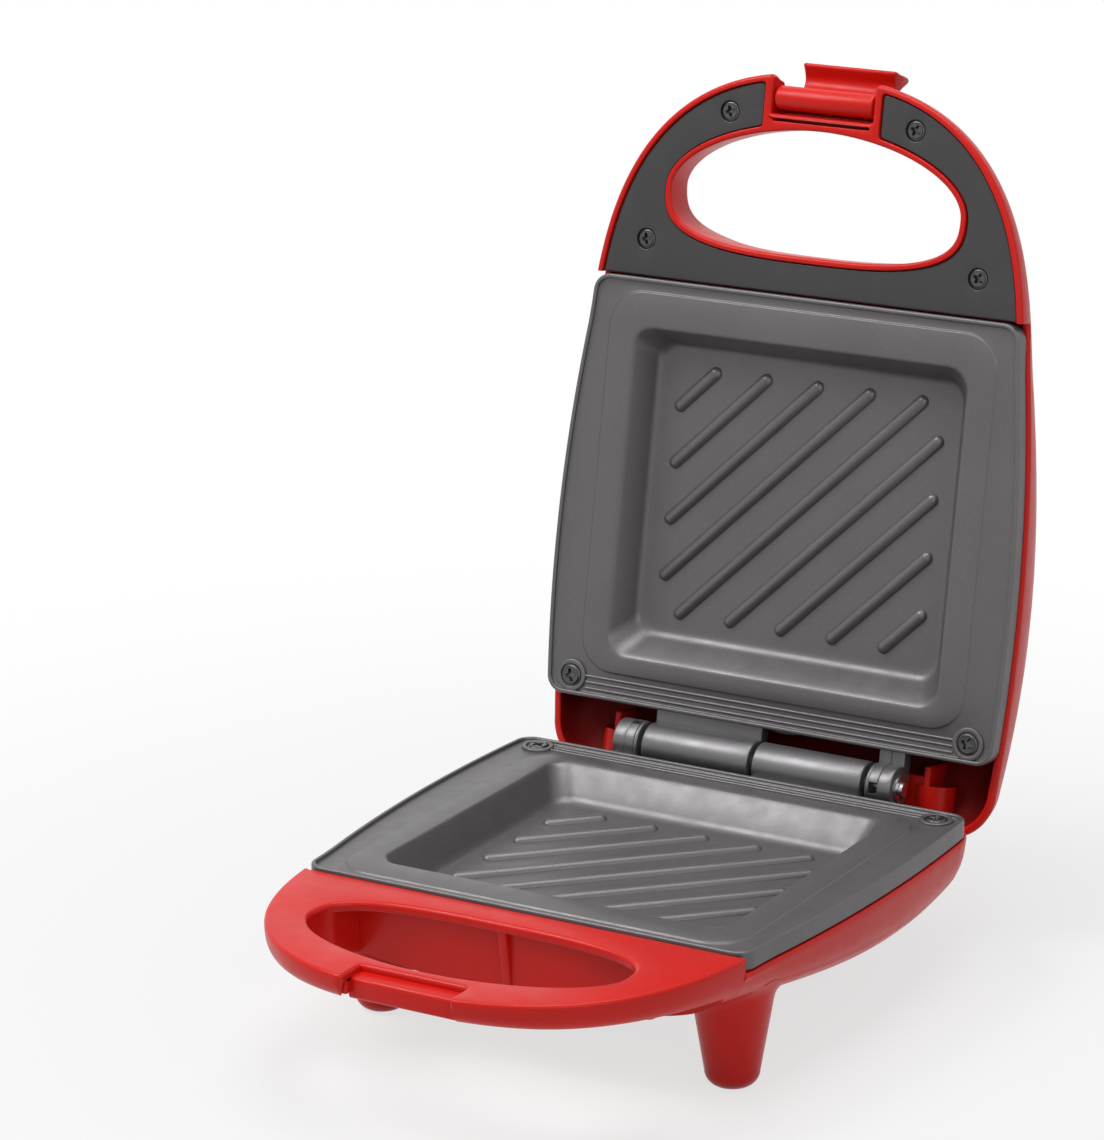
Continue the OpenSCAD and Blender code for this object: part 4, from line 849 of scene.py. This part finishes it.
def barrel_profile(cut):
    """Profile of a barrel with its web, cut open towards the meeting plane to show the pin."""
    a = np.linspace(math.asin(WEB_T / BARREL_R), -1.5 * math.pi, 60)
    ring = np.column_stack([BARREL_R * np.cos(a), BARREL_R * np.sin(a)])
    if cut:
        half, low = 1.6, -PIN_R + 0.25
        left = ring[(ring[:, 0] < -half) & (ring[:, 1] < 4)]
        right = ring[(ring[:, 0] > half) & (ring[:, 1] < WEB_T + 0.1)]
        edge = -math.sqrt(BARREL_R**2 - half**2)
        tail = ring[ring[:, 1] >= 4]
        ring = np.vstack([right, [[half, edge], [half, low], [-half, low], [-half, edge]], left, tail])
    web = [[PLATE_REAR + 1, BARREL_R], [PLATE_REAR + 1, WEB_T]]
    return resample(np.vstack([ring, web]), 0.45)


def make_plate(name, place, body, node):
    """Cast plate with its rim, ledge, pocket, ribs and hinge barrels."""
    s = Shell()
    # outer wall, raised rim and band
    steps = [(CAST_WALL, BAND_T + CAST_WALL), (CAST_WALL, SKIRT_T), (0.3, SKIRT_T), (0, SKIRT_T - 0.3)]
    steps += curve(0.5, LIP_T + 0.5, 0.5, (180, 202, 225, 248, 270))
    steps += curve(LIP_W - 0.4, LIP_T + 0.4, 0.4, (-90, -60, -30, 0))
    steps += curve(LIP_W + 0.35, BAND_T - 0.35, 0.35, (180, 150, 120, 90))
    under, band = s.rings([(plate_loop(g), t) for g, t in steps])
    # ledge and pocket
    ledge = [(-0.35, BAND_T), (-0.12, BAND_T - 0.1), (0, BAND_T - 0.25), (0.12, LEDGE_T + 0.08)]
    loops = [s.add(corner_loop(LEDGE_W - g, LEDGE_REAR + g, LEDGE_FRONT - g, LEDGE_R - g), t)
             for g, t in ledge + [(0.35, LEDGE_T)]]
    s.fill(band, [loops[0]])
    profile = [(-1.0, LEDGE_T), (-0.5, LEDGE_T + 0.1), (-0.1, LEDGE_T + 0.4), (0.2, LEDGE_T + 0.9),
               (0.55, 1.95), (3.3, 8.2), (3.75, 9.05), (4.3, 9.62), (5.0, 9.95), (5.9, 10.1), (7.0, FLOOR_T)]
    loops += [s.add(pocket_loop(g), t) for g, t in profile]
    s.chain(loops)
    s.fill(loops[-1])
    # underside
    inset = SLOPE - CAST_WALL
    steps = [(-CAST_WALL, BAND_T + CAST_WALL), (inset, FLOOR_T + 1), (inset + 1, FLOOR_T + CAST_WALL)]
    outer = s.rings([(pocket_loop(g), t) for g, t in steps])
    s.fill(under, [outer[0]])
    s.fill(outer[1])
    # ribs of the pocket
    mid = (POCKET_REAR + SLOPE_REAR + POCKET_FRONT - SLOPE) / 2
    for k in range(RIB_COUNT):
        c = (k - (RIB_COUNT - 1) / 2) * RIB_PITCH * math.sqrt(2)
        x0, x1 = max(-RIB_W, c - RIB_L), min(RIB_W, c + RIB_L)
        bar(s, (x0, mid + c - x0), (x1, mid + c - x1), RIB_R, FLOOR_T + RIB_R - RIB_H, FLOOR_T + RIB_R)
    # fine lines along the hinge edge, and the rings round the screws
    x = PLATE_SCREW_X - 4.6
    for k in range(3):
        d = PLATE_REAR + LIP_W + 1.25 + k * 1.7
        bar(s, (-x, d), (x, d), 0.42, LEDGE_T + 0.45, BAND_T + 0.2)
    for side in (-1, 1):
        annulus(s, side * PLATE_SCREW_X, PLATE_SCREW_D, PLATE_HEAD_R + 0.3, PLATE_HEAD_R + 1.6,
                LEDGE_T - 0.2, BAND_T + 0.2)
    # barrels; the narrow one has a slot that shows the pin
    first_bare = len(s.f)
    whole, open_profile = barrel_profile(False), barrel_profile(True)
    prism(s, whole, BARREL_GAP / 2, BARREL_GAP / 2 + BROAD_W, 0.5)
    x = -NARROW_X - BARREL_GAP / 2
    prism(s, whole, x - 1.2, x, 0.5)
    prism(s, open_profile, x - 3.7, x - 1.1, 0.05)
    prism(s, whole, x - NARROW_W, x - 3.6, 0.5)
    s.painted_shade_and_bare_runs.append((first_bare, len(s.f)))
    s.piece(name, place, (COAT, CAST), body, "coated_casting", [node], sharp=38)


# ------------------------------------------------------------------ screws, cover, latch


def screw_heads(node, place, body, heads, r, t, low):
    """Countersunk heads with a cross recess, facing the meeting plane."""
    s = Shell()
    for k, (cx, cd) in enumerate(heads):
        unit = circle(40)
        edge = 0.16 * r
        steps = [(r * 0.6, low), (r, low - 0.1), (r, t + edge)]
        steps += [(r - 1.2 * edge * math.sin(v), t + edge * math.cos(v)) for v in np.radians((30, 60, 90))]
        steps += [(r * 0.74, t + 0.02)]
        turn = math.radians(25 + 47 * k)
        arm, half, flare = 0.60 * r, 0.125 * r, 0.17 * r
        cross = []
        for q in range(4):
            b = turn + q * math.pi / 2
            u = np.array([math.cos(b), math.sin(b)])
            v = np.array([-u[1], u[0]])
            cross += [u * flare * 1.4 - v * flare, u * arm - v * half, u * arm + v * half]
        cross = np.array(cross)
        _, top = s.rings([([cx, cd] + unit * q, h) for q, h in steps])
        rims = s.add([cx, cd] + cross * 1.08, t + 0.02)
        deep = s.add([cx, cd] + cross * 0.93, t + 0.14 * r)
        bottom = s.add([cx, cd] + cross * 0.62, t + 0.42 * r)
        s.chain([rims, deep, bottom])
        s.fill(top, [rims])
        s.fill(bottom)
    s.piece(node + "_body", place, (BLACK,), body, "black_steel", [node], sharp=35)


def make_cover(c):
    """Dark cover of the lid's handle, sunk in its recess."""
    s = Shell()
    edge = recess_chain(c, COVER_GAP)
    edge[:, 1] = np.maximum(edge[:, 1], STEP_D + COVER_GAP)
    loop = resample(edge, 0.7)
    top = COVER_TOP
    steps = [(grow(loop, -inward), top + down) for inward, down in arc(0.4, 4)] + [(loop, top + COVER_TH)]
    first, last = s.rings(steps)
    s.fill(last)
    holes = []
    unit, r = circle(48), COVER_HEAD_R + 0.4
    for head in COVER_HEADS:
        steps = [(head + unit * (r + k), top + h) for k, h in arc(0.22, 3)]
        steps.append((head + unit * r, top + COVER_TH - 0.6))
        rim, floor = s.rings(steps)
        s.fill(floor)
        holes.append(rim)
    s.fill(first, holes, grid(-66, 66, 128, 186, 7), lambda x, d: np.full(len(x), top))
    s.piece("handle_cover_body", to_lid, (GREY,), "lid", "black_plastic", ["handle_cover"])


def make_latch():
    """Leaf, hook and finger edge of the latch, swung open about its pivot as in the photograph."""
    deep, r, hook = 3.7, 3.0, CATCH_LOW + PIVOT_T + 0.4
    under_hook = curve(deep - r, r - hook, r, np.linspace(-90, 0, 10))
    barrel = curve(0, 0, LATCH_R, np.linspace(262, 65, 30))
    outer = [[2.4, 2.35], [3.4, 0.8], [4.2, -0.9], [4.85, -2.6], [5.35, -4.6], [5.65, -6.8], [5.8, -9.2],
             [5.7, -11.2], [5.4, -13], [5.0, -14.6], [4.8, -16], [4.85, -17.3], [5.1, -18.3], [4.9, -19.2],
             [4.45, -19.55], [3.9, -19.5], [3.0, -18.7], [1.8, -17.6], [0.7, -16.4], [-0.6, -15.5],
             [-1.4, -14.9], [-1.6, -14.3], [-1.3, -13.8]]
    inner = [[3.7, -8.6], [3.45, -7.0], [2.9, -5.4], [2.1, -4.2], [0.9, -3.5]]
    profile = soften(resample(np.vstack([barrel, outer, under_hook, inner]), 0.4), 2)
    share = np.clip((-profile[:, 1] - 3) / 14.5, 0, 1)
    waist = 1 - 0.085 * np.sin(math.pi * share) ** 1.4
    half = NOTCH_W - 0.6
    s = Shell()
    prism(s, profile, -half, half, 0.7, waist)
    s.piece("latch_body", lambda p: turned(p, SWING, PIVOT_D, PIVOT_T), (RED,), "latch",
            "red_plastic", ["latch"], sharp=45)


# ------------------------------------------------------------------ legs, studs and indicator


def make_legs(name, node, x, d, top_r):
    """Two tapered legs with a fillet where they leave the casing."""
    s, unit = Shell(), circle(64)
    foot, start = PLANE_H - LEG_ROUND, 12.0
    taper = (LEG_FOOT_R - top_r) / (foot - start)
    fillet = ((0.4, 1.6), (1.5, 0.05), (0.9, -0.25), (0.4, -0.8), (0.1, -1.6), (0, -2.6))
    for side in (-1, 1):
        rings = []
        for r_more, sunk in fillet:
            r = top_r + taper * 8 + r_more
            t = base_face([side * x, d] + unit * r) - sunk
            r = top_r + taper * (t - start) + r_more
            p = [side * x, d] + unit * r[:, None]
            rings.append(s.add(p, base_face(p) - sunk))
        last = s.at(rings[-1])[:, 2]
        for share in (0.25, 0.5, 0.75, 1):
            t = last + (foot - last) * share
            r = top_r + taper * (t - start)
            rings.append(s.add([side * x, d] + unit * r[:, None], t))
        for r, t in curve(LEG_FOOT_R - LEG_ROUND, foot, LEG_ROUND, np.linspace(12, 90, 7)):
            rings.append(s.add([side * x, d] + unit * r, t))
        s.chain(rings)
        s.fill(rings[-1])
    s.piece(name, to_base, (RED,), "base", "red_plastic", [node], sharp=60)


def base_face(p):
    return base_c.face(p[:, 0], p[:, 1])


def make_studs():
    """Round studs on the hinge end of the lid."""
    s, unit, r = Shell(), circle(56), 1.4
    level = RIM_T + STUD_R + 0.2
    end = -LID_REAR - STUD_L
    steps = [(STUD_R, 1.0), (STUD_R, -LID_REAR + 1), *curve(STUD_R - r, end + r, r, (0, -20, -45, -70, -90))]
    for side in (-1, 1):
        rings = [s.add(np.insert([side * STUD_X, level] + unit * wide, 1, d, axis=1)) for wide, d in steps]
        s.chain(rings)
        s.fill(rings[-1], plane=(0, 2))
    s.piece("storage_studs_body", to_lid, (RED,), "lid", "red_plastic", ["storage_studs"], sharp=50)


def make_indicator():
    """Oval lens and its bezel on the domed face of the lid."""
    reach = 4
    tilt = math.atan((face_depth(0, LENS_D + reach) - face_depth(0, LENS_D - reach)) / (2 * reach))
    level = float(face_depth(0, LENS_D))

    def place(p):
        return turned(p, tilt, LENS_D, level)

    def oval(g):
        return circle(72) * [LENS_W + g, LENS_H + g]

    s, r, rise = Shell(), 0.55, BEZEL_H + 0.1
    steps = [(BEZEL_W, -0.6), (BEZEL_W, rise - r), *curve(BEZEL_W - r, rise - r, r, (30, 60, 90))]
    steps += [(0.75, BEZEL_H + 0.08), (0.35, BEZEL_H - 0.1), (0.12, BEZEL_H - 0.5), (0.12, -1.5)]
    s.rings([(oval(g), t) for g, t in steps])
    s.piece("indicator_bezel_body", place, (RED,), "lid", "red_plastic", ["indicator_bezel"])
    s = Shell()
    steps = [(0, -1.6), (0, BEZEL_H - 0.85), (-0.35, BEZEL_H - 0.5), (-1.2, BEZEL_H - 0.2),
             (-3, BEZEL_H - 0.02)]
    _, top = s.rings([(oval(g), t) for g, t in steps])
    s.fill(top)
    s.piece("indicator_lens_body", place, (LENS,), "lid", "red_lens", ["indicator_lens"])


base_c = Casing(BASE_REAR, BASE_CORNER_R, CATCH_WALL_D, BELLY_H, True)
lid_c = Casing(LID_REAR, LID_CORNER_R, NOTCH_D, 0.0, False)
make_base_casing(base_c)
make_lid_casing(lid_c)
PLATE_HEADS = [(side * PLATE_SCREW_X, PLATE_SCREW_D) for side in (-1, 1)]
COVER_HEADS = [(side * x, d) for x, d in COVER_SCREWS for side in (-1, 1)]
PLATES = (("lower_plate", to_base, "base"), ("upper_plate", to_lid, "lid"))
for plate, place, body in PLATES:
    make_plate(plate + "_body", place, body, plate)
for plate, place, body in PLATES:
    screw_heads(plate + "_screws", place, body, PLATE_HEADS, PLATE_HEAD_R, LIP_T + 0.1, BAND_T + 0.3)
screw_heads("cover_screws", to_lid, "lid", COVER_HEADS, COVER_HEAD_R, COVER_TOP + 0.1, SEAT_T - 0.7)
make_cover(lid_c)
make_latch()
make_legs("front_legs_body", "front_legs", *FRONT_LEG)
make_legs("rear_legs_body", "rear_legs", *REAR_LEG)
make_studs()
make_indicator()

# ------------------------------------------------------------------ stage, lights and camera


def seen_directly(tree):
    """1 for camera, glossy and transmission rays."""
    path = tree.nodes.new("ShaderNodeLightPath")
    out = path.outputs["Is Camera Ray"]
    for kind in ("Is Glossy Ray", "Is Transmission Ray"):
        out = shader(tree, "Math", out, path.outputs[kind], settings={"operation": "MAXIMUM"})
    return out


def stage():
    """Pale floor that camera rays see as white away from the object, with its shadow near it."""
    floor = bpy.data.meshes.new("floor")
    floor.from_pydata([(-6, -6, 0), (6, -6, 0), (6, 12, 0), (-6, 12, 0)], [], [(0, 1, 2, 3)])
    obj = new_object("floor", floor)
    m = bpy.data.materials.new("pale_floor")
    m.use_nodes = True
    tree = m.node_tree
    plain = tree.nodes["Principled BSDF"]
    feed(tree, plain, {"Base Color": (*FLOOR_TONE, 1), "Roughness": 0.8, "Specular IOR Level": 0.1})
    where = tree.nodes.new("ShaderNodeTexCoord").outputs["Object"]
    reach = shader(tree, "VectorMath", where, settings={"operation": "LENGTH"})
    fade = shader(tree, "MapRange", reach, SHADOW_R, WHITE_R, SHADOW_FADE, 1.0,
                  settings={"interpolation_type": "SMOOTHSTEP"})
    share = shader(tree, "Math", fade, seen_directly(tree), settings={"operation": "MULTIPLY"})
    white = shader(tree, "Emission", Color=(1, 1, 1, 1))
    both = shader(tree, "MixShader", share, plain.outputs["BSDF"], white)
    tree.links.new(both, tree.nodes["Material Output"].inputs["Surface"])
    floor.materials.append(m)


def area_light(name, place, aim, size, power, color=(1, 1, 1)):
    light = bpy.data.lights.new(name, "AREA")
    light.shape = "RECTANGLE"
    light.size, light.size_y = size
    light.energy = power
    light.color = color
    obj = new_object(name, light)
    obj.location = place
    obj.rotation_euler = (Vector(aim) - Vector(place)).to_track_quat("-Z", "Y").to_euler()


FLOOR_TONE = (0.62, 0.62, 0.62)
WORLD_LIGHT = 0.22
SHADOW_FADE, SHADOW_R, WHITE_R = 0.70, 0.10, 0.42
stage()
AIM = (0, 0, 0.09)
area_light("key", (-0.9, -0.7, 1.6), AIM, (0.9, 0.9), 22)
area_light("fill", (1.3, -1.0, 0.9), AIM, (1.2, 0.9), 5)
area_light("top", (0.1, 0.0, 1.8), AIM, (1.2, 0.9), 16)
world = bpy.data.worlds.new("world")
bpy.context.scene.world = world
world.use_nodes = True
backdrop = shader(world.node_tree, "MapRange", seen_directly(world.node_tree), 0, 1, WORLD_LIGHT, 1)
feed(world.node_tree, world.node_tree.nodes["Background"], {"Color": (1, 1, 1, 1), "Strength": backdrop})

camera = bpy.data.cameras.new("camera")
cam = new_object("camera", camera)
CAM_AZ, CAM_EL, CAM_ROLL = (math.radians(a) for a in (30.456, 16.637, -0.261))
CAM_LENS = 147.59
CAM_PLACE = Vector((561.36, -1065.00 + HINGE_Y, 414.48 + PLANE_H)) * MM
back = Vector((math.sin(CAM_AZ) * math.cos(CAM_EL), -math.cos(CAM_AZ) * math.cos(CAM_EL), math.sin(CAM_EL)))
right = Vector((math.cos(CAM_AZ), math.sin(CAM_AZ), 0))
up = back.cross(right)
right, up = (math.cos(CAM_ROLL) * right + math.sin(CAM_ROLL) * up,
             -math.sin(CAM_ROLL) * right + math.cos(CAM_ROLL) * up)
cam.matrix_world = Matrix.Translation(CAM_PLACE) @ Matrix((right, up, back)).transposed().to_4x4()
camera.lens = CAM_LENS
camera.clip_end = 20
bpy.context.scene.camera = cam
bpy.context.scene.view_settings.view_transform = "Standard"
